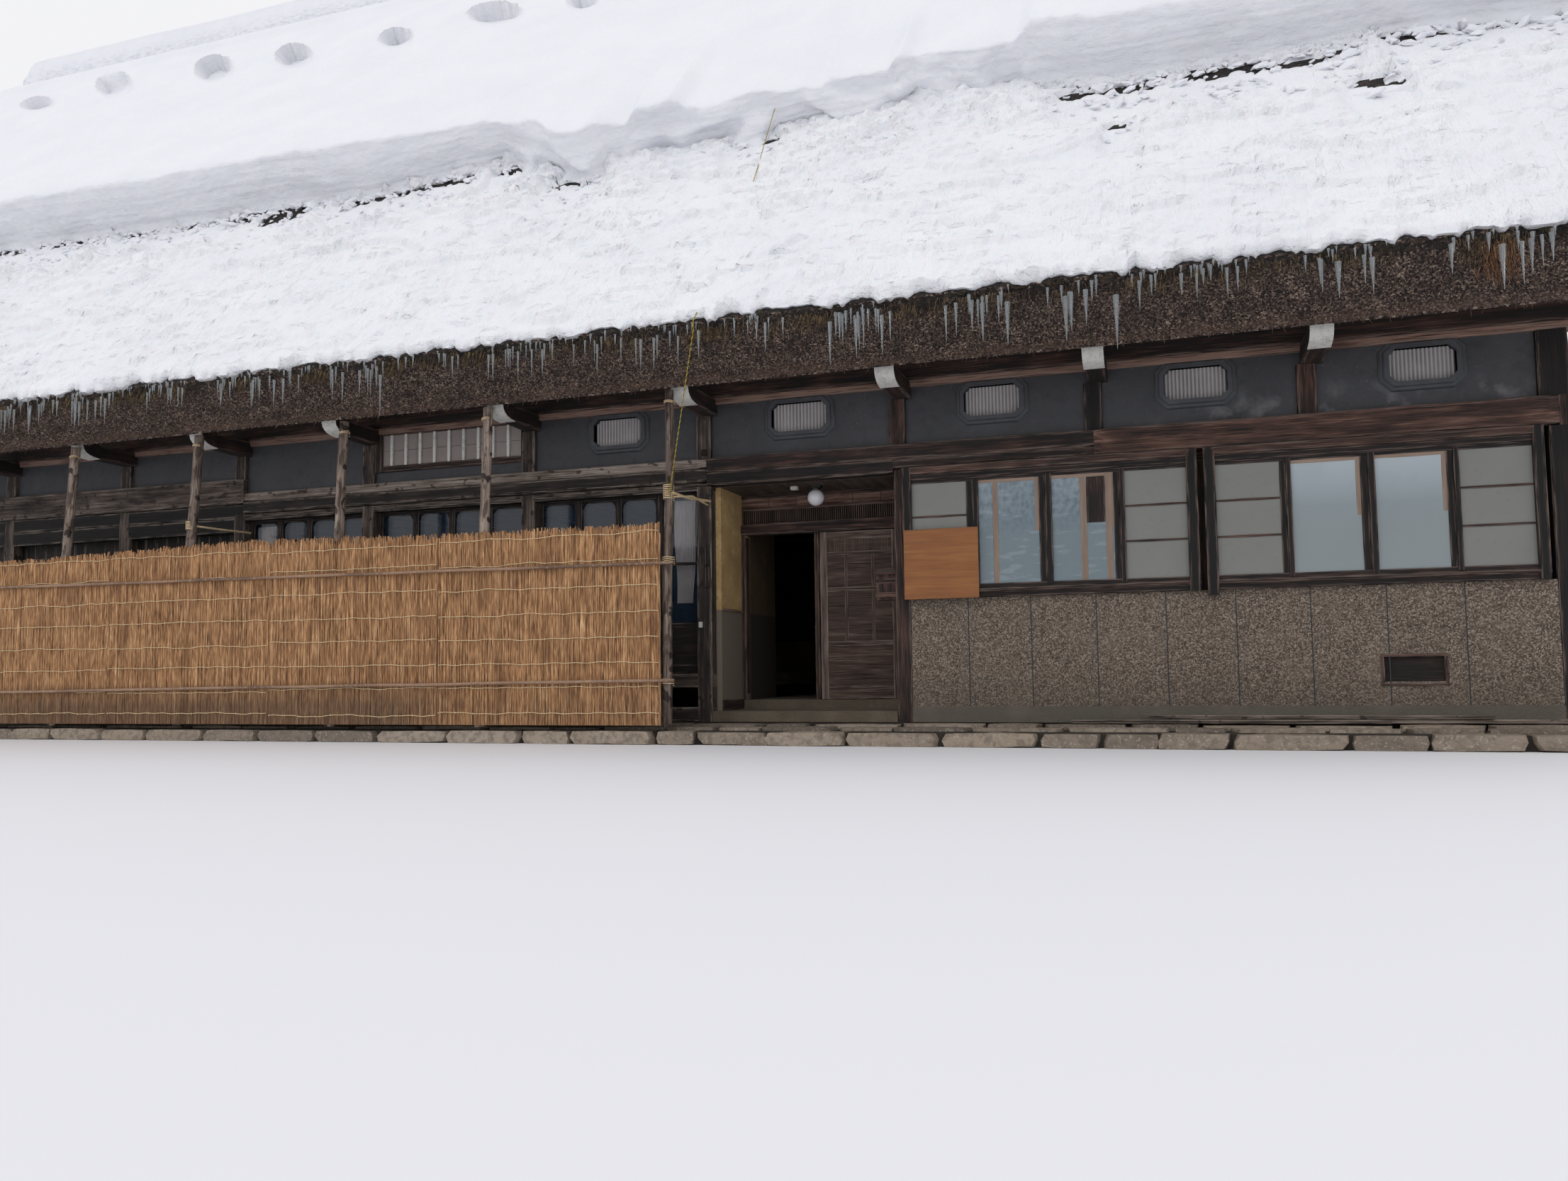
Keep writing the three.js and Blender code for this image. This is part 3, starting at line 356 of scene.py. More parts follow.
def emboss(finish, height, depth_mm):
    """Raises the surface by depth_mm where the height is 1."""
    tree = finish.node_tree
    normal = tree.nodes["Principled BSDF"].inputs["Normal"]
    inputs = {"Height": height, "Distance": depth_mm / 1000}
    if normal.links:
        inputs["Normal"] = normal.links[0].from_socket
    tree.links.new(add(finish, "ShaderNodeBump", inputs).outputs[0], normal)


def roughen(finish, size_mm, depth_mm):
    """Raises soft lumps of about size_mm all over, by up to depth_mm."""
    emboss(finish, patches(finish, size_mm, 0.2, 0.8), depth_mm)


# Field stone: grey-brown, dull and damp, with paler lichen and darker wet patches
field = start_finish("field_stone", "#6d675e", 0.75)
stone_tone = add(field, "ShaderNodeAttribute", attribute_name="tone").outputs["Fac"]
colours = add(field, "ShaderNodeValToRGB", {"Fac": stone_tone}, stops=(
    (0.0, "#6b6156"), (0.35, "#85786a"), (0.7, "#978877"), (1.0, "#a39687")))
lay(field, 1.0, colours.outputs[0])
mottle(field, "#5f564a", 70, 0.45, 0.62, most=0.55)
mottle(field, "#b3ab9c", 25, 0.58, 0.66, shift=5, most=0.5)
roughen(field, 18, 5)
settle(stones.piece("plinth_stones", field, crease=50), "stone", "stone_plinth")

# Lime and earth bed: dark, crumbly
mortar = start_finish("earth_and_lime_bed", "#2b2621", 0.95)
mottle(mortar, "#3b342c", 60, most=0.5)
roughen(mortar, 12, 4)
settle(bed.piece("plinth_bed", mortar), "stone")


# Floors: beaten earth in the entrance hall with its step, and plain boards in the rooms, laid on joists
# that the walls hide. The earth is brown, packed smooth, with dark crumbs trodden in.
earth = start_finish("beaten_earth", "#5b5144", 0.9)
mottle(earth, "#6f6555", 300, most=0.5)
mottle(earth, "#3d362d", 14, 0.5, 0.7, most=0.5)
roughen(earth, 25, 3)


def paint(finish, *names):
    """Gives CAD nodes their finish."""
    for name in names:
        nodes[name].data.materials.clear()
        nodes[name].data.materials.append(finish)


def facing_up(finish, low, high, most=1.0):
    """A share that goes from 0 to most as the surface turns from level low to level high: 1 lies flat."""
    normal = add(finish, "ShaderNodeNewGeometry").outputs["Normal"]
    level = add(finish, "ShaderNodeSeparateXYZ", {0: normal}).outputs[2]
    return add(finish, "ShaderNodeMapRange",
               {"Value": level, "From Min": low, "From Max": high, "To Max": most})


def aged_wood(name, stops, roughness=0.8, drawn=None, depth_mm=2.0, spread=1.05, worn="#978a7e", cracked=0.85,
              knotty=0.0):
    """Old timber. The colour runs through the stops with the timber's own tone and its streaks, and its worn
    edges are pale, partly wear and partly a painted highlight along them. drawn stretches the grain along an
    axis of a CAD node; other pieces carry it."""
    finish = start_finish(name, stops[0][1], roughness)
    if drawn:
        place, tone = None, 0.5
    else:
        place = add(finish, "ShaderNodeAttribute", attribute_name="grain").outputs["Vector"]
        tone = add(finish, "ShaderNodeAttribute", attribute_name="tone").outputs["Fac"]
    long = drawn or (1, 0.05, 0.05)
    thin = tuple(share if share == 1 else share * 0.5 for share in long)
    fine = patches(finish, 260, 0.3, 0.7, thin, place)
    streaks = patches(finish, 700, 0.32, 0.68, long, place, shift=5)
    broad = patches(finish, 420, 0.3, 0.7, tuple(max(share, 0.3) for share in long), place, shift=3)
    both = add(finish, "ShaderNodeMath", {0: fine, 1: streaks}, operation="ADD")
    all_three = add(finish, "ShaderNodeMath", {0: both, 1: broad}, operation="ADD")
    moved = add(finish, "ShaderNodeMath", {0: all_three, 1: spread / 3, 2: -spread / 2},
                operation="MULTIPLY_ADD")
    total = add(finish, "ShaderNodeMath", {0: moved, 1: tone}, operation="ADD")
    lay(finish, 1.0, add(finish, "ShaderNodeValToRGB", {"Fac": total}, stops=stops).outputs[0])
    # Pale edges: worn arrises, and a painted highlight along them
    edge = add(finish, "ShaderNodeAttribute", attribute_name="edge").outputs["Fac"]
    lay(finish, edge, worn, patches(finish, 240, 0.42, 0.6, long, place, shift=7, most=0.75))
    narrow = tuple(share if share == 1 else share * 0.35 for share in long)
    cracks = patches(finish, 500, 0.60, 0.66, narrow, place, shift=9, most=cracked)
    lay(finish, cracks, "#0d0907")
    if knotty:
        knots = patches(finish, 120, 0.63, 0.67, (1, 0.7, 0.7), place, shift=17, detail=1, most=knotty)
        lay(finish, knots, "#1a110d")
    # Upward faces paler grey: partly weathering, partly a painted highlight from the light above
    lay(finish, facing_up(finish, 0.5, 0.95, 0.45), "#8a8178")
    emboss(finish, fine, depth_mm)
    emboss(finish, add(finish, "ShaderNodeMath", {0: 1.0, 1: cracks}, operation="SUBTRACT"), depth_mm * 1.5)
    return finish


# Sawn boards, dry and unfinished, brown-grey with a fine straight grain
floor_boards = aged_wood("sawn_boards", [(0.0, "#2a211c"), (0.5, "#4a3d35"), (1.0, "#6d5f54")],
                         drawn=(0.06, 1, 0.06))
paint(earth, "hall_floor")
paint(floor_boards, "room_floor_left", "room_floor_right")


# The timber frame of the front: posts on the ground sill, with rails and lintels let in between them.
# Hand-hewn cedar and chestnut, jointed and pegged, dark with smoke and age, greyer to the left.
def timber(build, low, high, ease=0.009, wave=0.003, tone=0.5, step=0.16):
    """A hewn timber that fills the box between two corners, with eased edges and slightly uneven faces."""
    low, high = Vector(low), Vector(high)
    size = high - low
    along = max(range(3), key=lambda axis: size[axis])
    first, second = (along + 1) % 3, (along + 2) % 3
    wide, deep = size[first], size[second]
    ease = min(ease, 0.25 * wide, 0.25 * deep)
    near, far = min(0.02, 0.22 * wide), min(0.02, 0.22 * deep)
    across = (0, near, wide - 2 * ease - near, wide - 2 * ease)
    down = (0, far, deep - 2 * ease - far, deep - 2 * ease)
    ring = ([(ease + a, 0) for a in across] + [(wide, ease + b) for b in down]
            + [(wide - ease - a, deep) for a in across] + [(0, deep - ease - b) for b in down])
    count = max(2, round(size[along] / step))
    points, grain, shift = [], [], random.uniform(0, 60)
    for number in range(count + 1):
        inset = ease * 0.7 if number in (0, count) else 0
        for a, b in ring:
            point = low.copy()
            point[along] += size[along] * number / count
            a = min(max(a, inset), wide - inset)
            b = min(max(b, inset), deep - inset)
            spot = Vector((point[along] * 3, a * 6 + shift, b * 6))
            point[first] += a - math.copysign(wave, a - wide / 2) * (0.5 + 0.5 * noise.noise(spot))
            point[second] += b - math.copysign(wave, b - deep / 2) * (0.5 - 0.5 * noise.noise(spot))
            points.append(point)
            grain.append((point[along] + shift, point[first] + shift, point[second]))
    round_it = len(ring)
    rings = [range(start, start + round_it) for start in range(0, len(points), round_it)]
    faces = [(here[side], here[(side + 1) % round_it], there[(side + 1) % round_it], there[side])
             for here, there in zip(rings, rings[1:]) for side in range(round_it)]
    worn = [1.0 if side % 4 in (0, 3) else 0.0 for side in range(round_it)] * (count + 1)
    build.put(points, faces + [tuple(reversed(rings[0])), tuple(rings[-1])], grain, tone, worn)


random.seed(21)
STRUTS = (11.965, 10.071, 8.171, 6.235, 4.105, 1.955, -0.215, -2.125, -3.985, -6.001, -8.017, -10.033)
FRONT, POST_HALF, POST_DEPTH, CORNER_IN, HALF_LENGTH = -6.4, 0.085, 0.15, 11.955, 12.145
END_JOINT, MIDDLE_JOINT, RIGHT_JOINT, FRAME_END = -2.04, 4.15, STRUTS[2], 4.19
STRUT_TOP, BEAM_LOW, BEAM_TOP, END_BEAM_LOW, END_BEAM_TOP = 3.47, 2.746, 3.007, 2.872, 3.19
LINTEL_LOW, SASH_TOP, GLASS_TOP, FLOOR_LOW, FLOOR_TOP, SILL_TOP = 2.706, 2.668, 2.578, 0.55, 0.70, 0.344
PLATE_LOW, PLATE_TOP, CORNER_DEPTH, WALL_INNER = 3.59, 3.85, 0.19, -6.28


def upright(build, x, z0, z1, tone=0.5, y0=FRONT, y1=FRONT + POST_DEPTH, half=POST_HALF):
    timber(build, (x - half, y0, z0), (x + half, y1, z1), tone=tone)


def rail(build, x0, x1, z0, z1, tone=0.5, y0=FRONT + 0.006, y1=FRONT + POST_DEPTH, **more):
    timber(build, (x0, y0, z0), (x1, y1, z1), tone=tone, **more)


left_frame = Build()
timber(left_frame, (-HALF_LENGTH, FRONT, PLINTH_TOP), (-CORNER_IN, FRONT + CORNER_DEPTH, PLATE_LOW),
       tone=0.45)
for x0, x1, z0, z1, tone in (
        (-CORNER_IN, FRAME_END, PLINTH_TOP, SILL_TOP, 0.4),
        (-CORNER_IN, FRAME_END, FLOOR_LOW, FLOOR_TOP, 0.45),
        (-CORNER_IN, END_JOINT, 2.521, 2.70, -0.3), (-CORNER_IN, END_JOINT, 2.70, END_BEAM_LOW, -0.2),
        (END_JOINT, FRAME_END, SASH_TOP - 0.004, LINTEL_LOW, 0.12),
        (END_JOINT, MIDDLE_JOINT, LINTEL_LOW, BEAM_LOW, 0.46)):
    rail(left_frame, x0, x1, z0, z1, tone)
for x in STRUTS[8:]:
    upright(left_frame, x, PLINTH_TOP, END_BEAM_LOW, 0.5)
for x in STRUTS[5:8]:
    upright(left_frame, x, PLINTH_TOP, BEAM_LOW, 0.45)
upright(left_frame, STRUTS[4], PLINTH_TOP, LINTEL_LOW, 0.3)

# Weathered cedar: the brown has gone silver grey where rain reaches it, with long dark grain
grey_cedar = aged_wood("weathered_cedar", [
    (0.0, "#14100e"), (0.3, "#2f2622"), (0.55, "#54483f"), (0.8, "#7a6c62"), (1.0, "#a0948a")], knotty=0.75)
settle(left_frame.piece("front_frame_left_timbers", grey_cedar), "grey_cedar", "front_frame_left")

right_frame = Build()
DEEP, CORNER_BACK, ENTRANCE_RIGHT, RIGHT_END = FRONT + 0.27, FRONT + CORNER_DEPTH, 6.188, 11.985
for low, high, tone in (
        ((ENTRANCE_RIGHT, FRONT, PLINTH_TOP), (6.348, DEEP, BEAM_LOW), 0.42),
        ((9.04, WALL_INNER, PLINTH_TOP), (9.205, DEEP, BEAM_LOW), 0.3),
        ((ENTRANCE_RIGHT, WALL_INNER, PLINTH_TOP), (RIGHT_END, DEEP, SILL_TOP), 0.4),
        ((ENTRANCE_RIGHT, WALL_INNER, BEAM_LOW - 0.1), (RIGHT_END, DEEP, BEAM_LOW), 0.4),
        ((CORNER_IN, FRONT, PLINTH_TOP), (HALF_LENGTH, CORNER_BACK, BEAM_LOW), 0.04),
        ((CORNER_IN - 0.057, FRONT + 0.004, BEAM_TOP), (HALF_LENGTH, CORNER_BACK, PLATE_LOW), 0.02),
        ((12.036, FRONT, BEAM_LOW), (HALF_LENGTH, CORNER_BACK, BEAM_TOP), 0.3)):
    timber(right_frame, low, high, tone=tone)

# Smoked cedar: nearly black-brown, a little red where the light falls along the grain
old_cedar = aged_wood("smoked_cedar", [
    (0.0, "#0c0908"), (0.3, "#211714"), (0.52, "#3f2b23"), (0.75, "#62463b"), (1.0, "#927668")],
                      worn="#7c6a60")
settle(right_frame.piece("front_frame_right_timbers", old_cedar), "old_cedar", "front_frame_right")


# The long beams over the front, in four lengths scarfed at the posts, and the short struts that stand
# on them and carry the cross beams. The two on the left are silvered, the two on the right brown.
def beam(build, x0, x1, z0, z1, tone, y0=FRONT - 0.04, y1=FRONT + POST_DEPTH):
    timber(build, (x0, y0, z0), (x1, y1, z1), ease=0.014, wave=0.007, tone=tone, step=0.12)


beams = {"beam_left_end": Build(), "beam_left": Build(), "beam_middle": Build(), "beam_right": Build()}
beam(beams["beam_left_end"], -CORNER_IN, END_JOINT, END_BEAM_LOW, END_BEAM_TOP, 0.48)
beam(beams["beam_left"], END_JOINT, MIDDLE_JOINT, BEAM_LOW, 2.90, 0.18)
beam(beams["beam_left"], END_JOINT, MIDDLE_JOINT, 2.90, BEAM_TOP, 0.86, FRONT - 0.028)
beam(beams["beam_middle"], MIDDLE_JOINT, ENTRANCE_RIGHT, LINTEL_LOW, 2.86, 0.10, FRONT - 0.03)
beam(beams["beam_middle"], MIDDLE_JOINT, RIGHT_JOINT, 2.84, BEAM_TOP, 0.32)
beam(beams["beam_middle"], ENTRANCE_RIGHT, RIGHT_JOINT, BEAM_LOW, 2.85, 0.30, FRONT - 0.036)
beam(beams["beam_right"], RIGHT_JOINT, 12.035, BEAM_LOW, BEAM_TOP, 0.58, FRONT - 0.04, FRONT + 0.08)
beam(beams["beam_right"], RIGHT_JOINT, CORNER_IN, BEAM_LOW, BEAM_TOP, 0.40, FRONT + 0.08)
strut_tones = dict(zip(STRUTS[1:5], (0.42, 0.02, 0.42, 0.42)))
for name, struts, low in (("beam_left_end", STRUTS[7:], END_BEAM_TOP), ("beam_left", STRUTS[4:7], BEAM_TOP),
                          ("beam_middle", STRUTS[3:4], BEAM_TOP), ("beam_right", STRUTS[1:3], BEAM_TOP)):
    for x in struts:
        upright(beams[name], x, low - 0.01, STRUT_TOP, strut_tones.get(x, 0.40))
    finish, slot = (grey_cedar, "grey_cedar") if "left" in name else (old_cedar, "old_cedar")
    settle(beams[name].piece(name + "_timbers", finish), slot, name)


# The plates on top of the walls, the cross beams whose ends are the arms under the eaves, the attic
# floor on them, and the outer purlins that the arms carry. The nose of each arm is rounded and limed.
random.seed(31)
# Cedar lighter than the smoked cedar, a warm grey-brown: painted light, for the light the snow throws up
# under the eave onto the purlins
cedar_with_painted_light = aged_wood("cedar_with_painted_light", [(0.0, "#2c221d"), (0.5, "#86705f"), (1.0, "#bda995")])
PLATE_REACH, ARM_TOP, NOSE, ARM_HALF, ARM_END, NOSE_BACK = 12.9, 3.66, 0.24, 0.095, 7.15, 6.905
for side, name in ((-1, "front"), (1, "back")):
    y0, y1 = sorted((side * 6.4, side * 6.2))
    plate, purlin = Build(), Build()
    timber(plate, (-PLATE_REACH, y0 + 0.004, 3.661), (PLATE_REACH, y1, PLATE_TOP), tone=0.35, step=0.3)
    # The lower strip, seen over the plaster, gets a high tone: painted light for the snow's light under the
    # eave
    timber(plate, (-PLATE_REACH, y0 + 0.004, PLATE_LOW), (PLATE_REACH, y1, 3.665), tone=0.98, step=0.3)
    settle(plate.piece(f"wall_plate_{name}_timber", old_cedar), "old_cedar", f"wall_plate_{name}")
    y0, y1 = sorted((side * ARM_END, side * 6.99))
    # The purlins take the lighter cedar: painted light
    timber(purlin, (-PLATE_REACH, y0, ARM_TOP), (PLATE_REACH, y1, 3.779), tone=0.62, step=0.3)
    settle(purlin.piece(f"purlin_{name}_timber", cedar_with_painted_light), "old_cedar", f"purlin_{name}")

attic, noses = Build(), Build()
slab(attic, (-11.94, -6.2, 3.665), (11.94, 6.2, PLATE_TOP), 0.45)
nose_curve = ((ARM_END, ARM_TOP), (ARM_END, 3.60), (7.137, 3.56), (7.105, 3.525), (7.06, 3.50), (6.99, 3.482),
              (NOSE_BACK, 3.472))
nose_paint = tuple((y + 0.003, z - 0.003) for y, z in nose_curve)
nose_paint += tuple((y - 0.004, z + 0.004) for y, z in nose_curve[::-1])


def put_profile(build, middle, half, side, shape, tone=0.5):
    """An outline in (y, z) drawn out along x."""
    count, turn = len(shape), 1 if side < 0 else -1
    points = [(middle + end * half, side * y, z) for end in (-1, 1) for y, z in shape]
    faces = [tuple(range(count))[::-turn], tuple(range(count, 2 * count))[::turn]]
    faces += [(i, (i + 1) % count, count + (i + 1) % count, count + i)[::turn] for i in range(count)]
    build.put(points, faces, None, tone)


for x in STRUTS[1:]:
    middle, tone = x + 0.05, random.uniform(0.2, 0.4)
    timber(attic, (middle - ARM_HALF, -ARM_END + NOSE, 3.47), (middle + ARM_HALF, ARM_END - NOSE, ARM_TOP),
           tone=tone, step=0.4, ease=0.015)
    for side in (-1, 1):
        put_profile(attic, middle, ARM_HALF - 0.002, side, nose_curve + ((NOSE_BACK, ARM_TOP),), tone)
        put_profile(noses, middle, ARM_HALF, side, nose_paint)
settle(attic.piece("attic_floor_and_cross_beams", old_cedar), "old_cedar", "attic_floor")

# Lime wash on the end grain: chalky white, worn thin and greyed at the edges
limewash = start_finish("lime_wash", "#d8d7d1", 0.85)
mottle(limewash, "#a5a29b", 60, 0.5, 0.7, most=0.5)
mottle(limewash, "#5b534c", 12, 0.6, 0.7, most=0.7)
roughen(limewash, 10, 1)
settle(noses.piece("arm_noses", limewash), "old_cedar")

# The eave beds: reeds and poles between plate, purlin and thatch. Brown, close and shadowed
bed_wood = aged_wood("eave_poles", [(0.0, "#2b201b"), (0.5, "#7a5c4c"), (1.0, "#b39680")],
                     drawn=(1, 0.05, 0.05))
paint(bed_wood, "eave_bed_front", "eave_bed_back")


# The dark plaster band above the beams, trowelled lime plaster with lamp black, and its small windows:
# an eight-sided surround in two steps, raised in the same plaster, round a sheet of ribbed glass.
def zone(finish, axis, start, end, most=1.0):
    """A share that goes from 0 to most between two places along an axis: 0 is x, 1 is y and 2 is z."""
    place = add(finish, "ShaderNodeTexCoord").outputs["Object"]
    along = add(finish, "ShaderNodeSeparateXYZ", {0: place}).outputs[axis]
    return add(finish, "ShaderNodeMapRange",
               {"Value": along, "From Min": start, "From Max": end, "To Max": most})


# Lime plaster with lamp black: slate grey, trowelled dull, clouded, washed paler near its right-hand foot
slate = start_finish("blackened_lime_plaster", "#3a3b3f", 0.62)
mottle(slate, "#46474b", 500, 0.4, 0.7, most=0.6)
mottle(slate, "#2a2b2f", 90, 0.5, 0.75, shift=4, most=0.5)
lay(slate, zone(slate, 0, 8.4, 9.4), "#77777a", zone(slate, 2, 3.36, 3.08),
    patches(slate, 200, 0.5, 0.66, shift=2, detail=6, most=0.6))
mottle(slate, "#85868a", 18, 0.68, 0.74, shift=12, most=0.4)
roughen(slate, 120, 3)
roughen(slate, 14, 0.6)
paint(slate, "plaster_band_left", "plaster_band_right")

BAND_WINDOWS = ((5.182, 0.612), (7.199, 0.562), (9.111, 0.576), (11.023, 0.551), (3.076, 0.590))
GLASS_Z, WINDOW_CHAMFER, BAND_FACE = (3.23, 3.54), 0.06, FRONT + 0.05


def octagon(centre, half, chamfer, low, high):
    return ((centre - half + chamfer, low), (centre + half - chamfer, low), (centre + half, low + chamfer),
            (centre + half, high - chamfer), (centre + half - chamfer, high), (centre - half + chamfer, high),
            (centre - half, high - chamfer), (centre - half, low + chamfer))


def collar(build, inner, outer, y_face, y_back, bevel):
    """A flat ring between two outlines in (x, z), facing the front, with a bevelled outer edge."""
    count = len(inner)
    middle = Vector((sum(x for x, _ in outer) / count, sum(z for _, z in outer) / count))
    drawn = [tuple(middle + (Vector(point) - middle) * (1 - bevel / (Vector(point) - middle).length))
             for point in outer]
    loops = ((inner, y_back), (inner, y_face), (drawn, y_face), (outer, y_face + bevel), (outer, y_back))
    points = [(x, y, z) for outline, y in loops for x, z in outline]
    faces = []
    for loop in range(len(loops)):
        near, far = loop * count, (loop + 1) % len(loops) * count
        faces += [(near + i, near + (i + 1) % count, far + (i + 1) % count, far + i)[::-1]
                  for i in range(count)]
    build.put(points, faces)


RIBS, PANE_DEPTH = 16, 0.030
surrounds, ribbed = Build(), Build()
for centre, width in BAND_WINDOWS:
    half = width / 2
    hole = octagon(centre, half - 0.004, WINDOW_CHAMFER, GLASS_Z[0] + 0.004, GLASS_Z[1] - 0.004)
    for reach, proud, bevel in ((0.080, 0.024, 0.016), (0.042, 0.046, 0.010)):
        edge = octagon(centre, half + reach, WINDOW_CHAMFER + reach * 0.55, GLASS_Z[0] - reach,
                       GLASS_Z[1] + reach)
        collar(surrounds, hole, edge, BAND_FACE - proud, BAND_FACE + 0.09, bevel)

    def ribbed_point(a, b, c, centre=centre, half=half):
        x = centre + (2 * a - 1) * (half - 0.006)
        cut = max(0.0, WINDOW_CHAMFER - (half - abs(x - centre))) + 0.006
        y = BAND_FACE + PANE_DEPTH + 0.008 * math.cos(a * RIBS * 2 * math.pi) - 0.006 * c
        return x, y, GLASS_Z[0] + cut + b * (GLASS_Z[1] - GLASS_Z[0] - 2 * cut)

    # The tone follows the ribs, for a painted highlight along each crest
    crust(ribbed, (RIBS * 8, 1, 1), ribbed_point,
          lambda a, b, c: 0.5 - 0.5 * math.cos(a * RIBS * 2 * math.pi))

# The surrounds are the same plaster, trowelled finer; their upper faces are paler, partly dust and partly a
# painted highlight
fine_slate = start_finish("trowelled_black_plaster", "#3f4145", 0.55)
mottle(fine_slate, "#4c4e53", 120, 0.45, 0.7, most=0.6)
# Paler upper faces: dust and a painted highlight
lay(fine_slate, facing_up(fine_slate, 0.2, 0.8, 0.8), "#8b8c8f")
roughen(fine_slate, 30, 1)
settle(surrounds.piece("octagon_surrounds", fine_slate), "slate_plaster")

# Ribbed glass: milky and dull with dust, lit from the front only, with a painted highlight along the crest of
# each rib
ribbed_glass = start_finish("ribbed_glass", "#7d7a79", 0.35)
lay(ribbed_glass, add(ribbed_glass, "ShaderNodeAttribute", attribute_name="tone").outputs["Fac"], "#bfbcbb")
mottle(ribbed_glass, "#c6c2c0", 200, 0.3, 0.7, most=0.35)
settle(ribbed.piece("ribbed_panes", ribbed_glass), "window_glass")


# The wide window of the band: beige panels in a dark frame, behind nine upright bars painted white.
WIDE_X, WIDE_Z, WIDE_FOOT, WIDE_HEAD = (-0.03, 1.857), (3.205, 3.585), 3.135, 3.588
PANEL_WIDE, PANEL_FACE, PANEL_BACK = 0.468, -6.357, -6.3512
wide_frame, wide_bars, wide_panels = Build(), Build(), Build()
rail(wide_frame, WIDE_X[0] - 0.095, WIDE_X[1] + 0.02, WIDE_FOOT, WIDE_Z[0] + 0.004, 0.34, -6.392, -6.30)
rail(wide_frame, WIDE_X[0] - 0.095, WIDE_X[1] + 0.02, 3.572, WIDE_Z[1] + 0.004, 0.45, -6.385, -6.30)
timber(wide_frame, (WIDE_X[0] - 0.10, -6.398, WIDE_FOOT), (WIDE_X[0], -6.30, WIDE_HEAD), tone=0.42)
timber(wide_frame, (WIDE_X[1], -6.39, WIDE_FOOT), (WIDE_X[1] + 0.016, -6.30, WIDE_HEAD), tone=0.3)
for number in range(4):
    x = WIDE_X[0] + number * 0.472
    slab(wide_panels, (x, PANEL_FACE, WIDE_Z[0]), (x + PANEL_WIDE, PANEL_BACK, 3.387), random.random())
    slab(wide_panels, (x, PANEL_FACE, 3.391), (x + PANEL_WIDE, PANEL_BACK, WIDE_Z[1]), random.random())
for number in range(9):
    x = 0.101 + number * 0.198
    timber(wide_bars, (x - 0.019, -6.384, WIDE_Z[0]), (x + 0.019, PANEL_FACE, WIDE_Z[1] - 0.01), 0.004, 0.001)
settle(wide_frame.piece("wide_window_frame", old_cedar), "old_cedar")
settle(wide_bars.piece("wide_window_bars", limewash), "old_cedar")

# Papered panels: warm grey-beige, matt, with faint water marks
panel_paper = start_finish("papered_panel", "#988f8b", 0.8)
mottle(panel_paper, "#857b76", 260, 0.4, 0.7, most=0.5)
settle(wide_panels.piece("wide_window_panels", panel_paper), "old_cedar")


# The wall under the right-hand windows: cement render with its aggregate washed bare, divided by thin
# dark strips, on a smoother mortar base, with a wooden vent low down at the right. It is rough, speckled
# brown, cream and near black, with grit of 5 mm drawn at 10 mm to show, and darker where it is damp.
rendered = start_finish("washed_aggregate_render", "#6b6156", 0.85)
object_place = add(rendered, "ShaderNodeTexCoord").outputs["Object"]
GRIT_MM = 10
grit = add(rendered, "ShaderNodeTexVoronoi", {"Vector": object_place, "Scale": 1000 / GRIT_MM})
grain_colour = add(rendered, "ShaderNodeSeparateColor", {0: grit.outputs["Color"]})
grit_ramp = add(rendered, "ShaderNodeValToRGB", {"Fac": grain_colour.outputs[0]}, stops=(
    (0.0, "#2b241f"), (0.3, "#54473e"), (0.65, "#756759"), (1.0, "#a89a8b")))
lay(rendered, zone(rendered, 2, 0.335, 0.35, 0.85), grit_ramp.outputs[0])
lay(rendered, zone(rendered, 2, 0.75, 0.2, 0.45), "#4a4139")
lay(rendered, zone(rendered, 2, 0.35, 0.335, 0.8), "#5c584e")
mottle(rendered, "#7f7466", 400, 0.5, 0.75, most=0.3)
emboss(rendered, add(rendered, "ShaderNodeMapRange", {"Value": grit.outputs["Distance"], "From Min": 0.6,
                                                      "From Max": 0.0}), 4)
paint(rendered, "aggregate_wall")

# The joints stand where the camera sees them: sideways of it, by a share of how far off the wall is.
# Each is a strip of dark plastic, dull and even
WALL_AWAY, JOINT_HALF = 11.35, 0.005
joints = Build()
for share in (-0.1607, -0.1070, -0.0528, 0.0029, 0.0569, 0.1123, 0.1669, 0.2210):
    x = CAMERA_PLACE[0] + WALL_AWAY * share
    slab(joints, (x - JOINT_HALF, FRONT - 0.002, SILL_TOP), (x + JOINT_HALF, FRONT + 0.01, 1.416))
joint_strip = start_finish("joint_strip", "#262a2c", 0.6)
settle(joints.piece("render_joints", joint_strip), "aggregate_render")

vent, VENT = Build(), (10.560, 11.105, 0.510, 0.803)
slab(vent, (VENT[0], -6.372, VENT[2]), (VENT[1], -6.361, VENT[3]), 0.2)
for z0, z1 in ((VENT[2], VENT[2] + 0.035), (VENT[3] - 0.035, VENT[3])):
    rail(vent, VENT[0], VENT[1], z0, z1, 0.58, FRONT - 0.012, FRONT + 0.038)
for x in (VENT[0] + 0.02, VENT[1] - 0.02):
    upright(vent, x, VENT[2], VENT[3], 0.5, FRONT - 0.010, FRONT + 0.038, 0.02)
settle(vent.piece("floor_vent", old_cedar), "old_cedar")

# Loose boards kept on the plinth against the wall
random.seed(41)
ledge = Build()
for x0, x1, y, z, tone in ((7.9, 10.6, -6.62, PLINTH_TOP, 0.45), (9.4, 12.3, -6.50, PLINTH_TOP, 0.78),
                           (8.6, 11.4, -6.53, 0.228, 0.62)):
    timber(ledge, (x0, y, z), (x1, y + 0.11, z + 0.036), 0.004, 0.002, tone)
settle(ledge.piece("ledge_boards", grey_cedar), "boards")


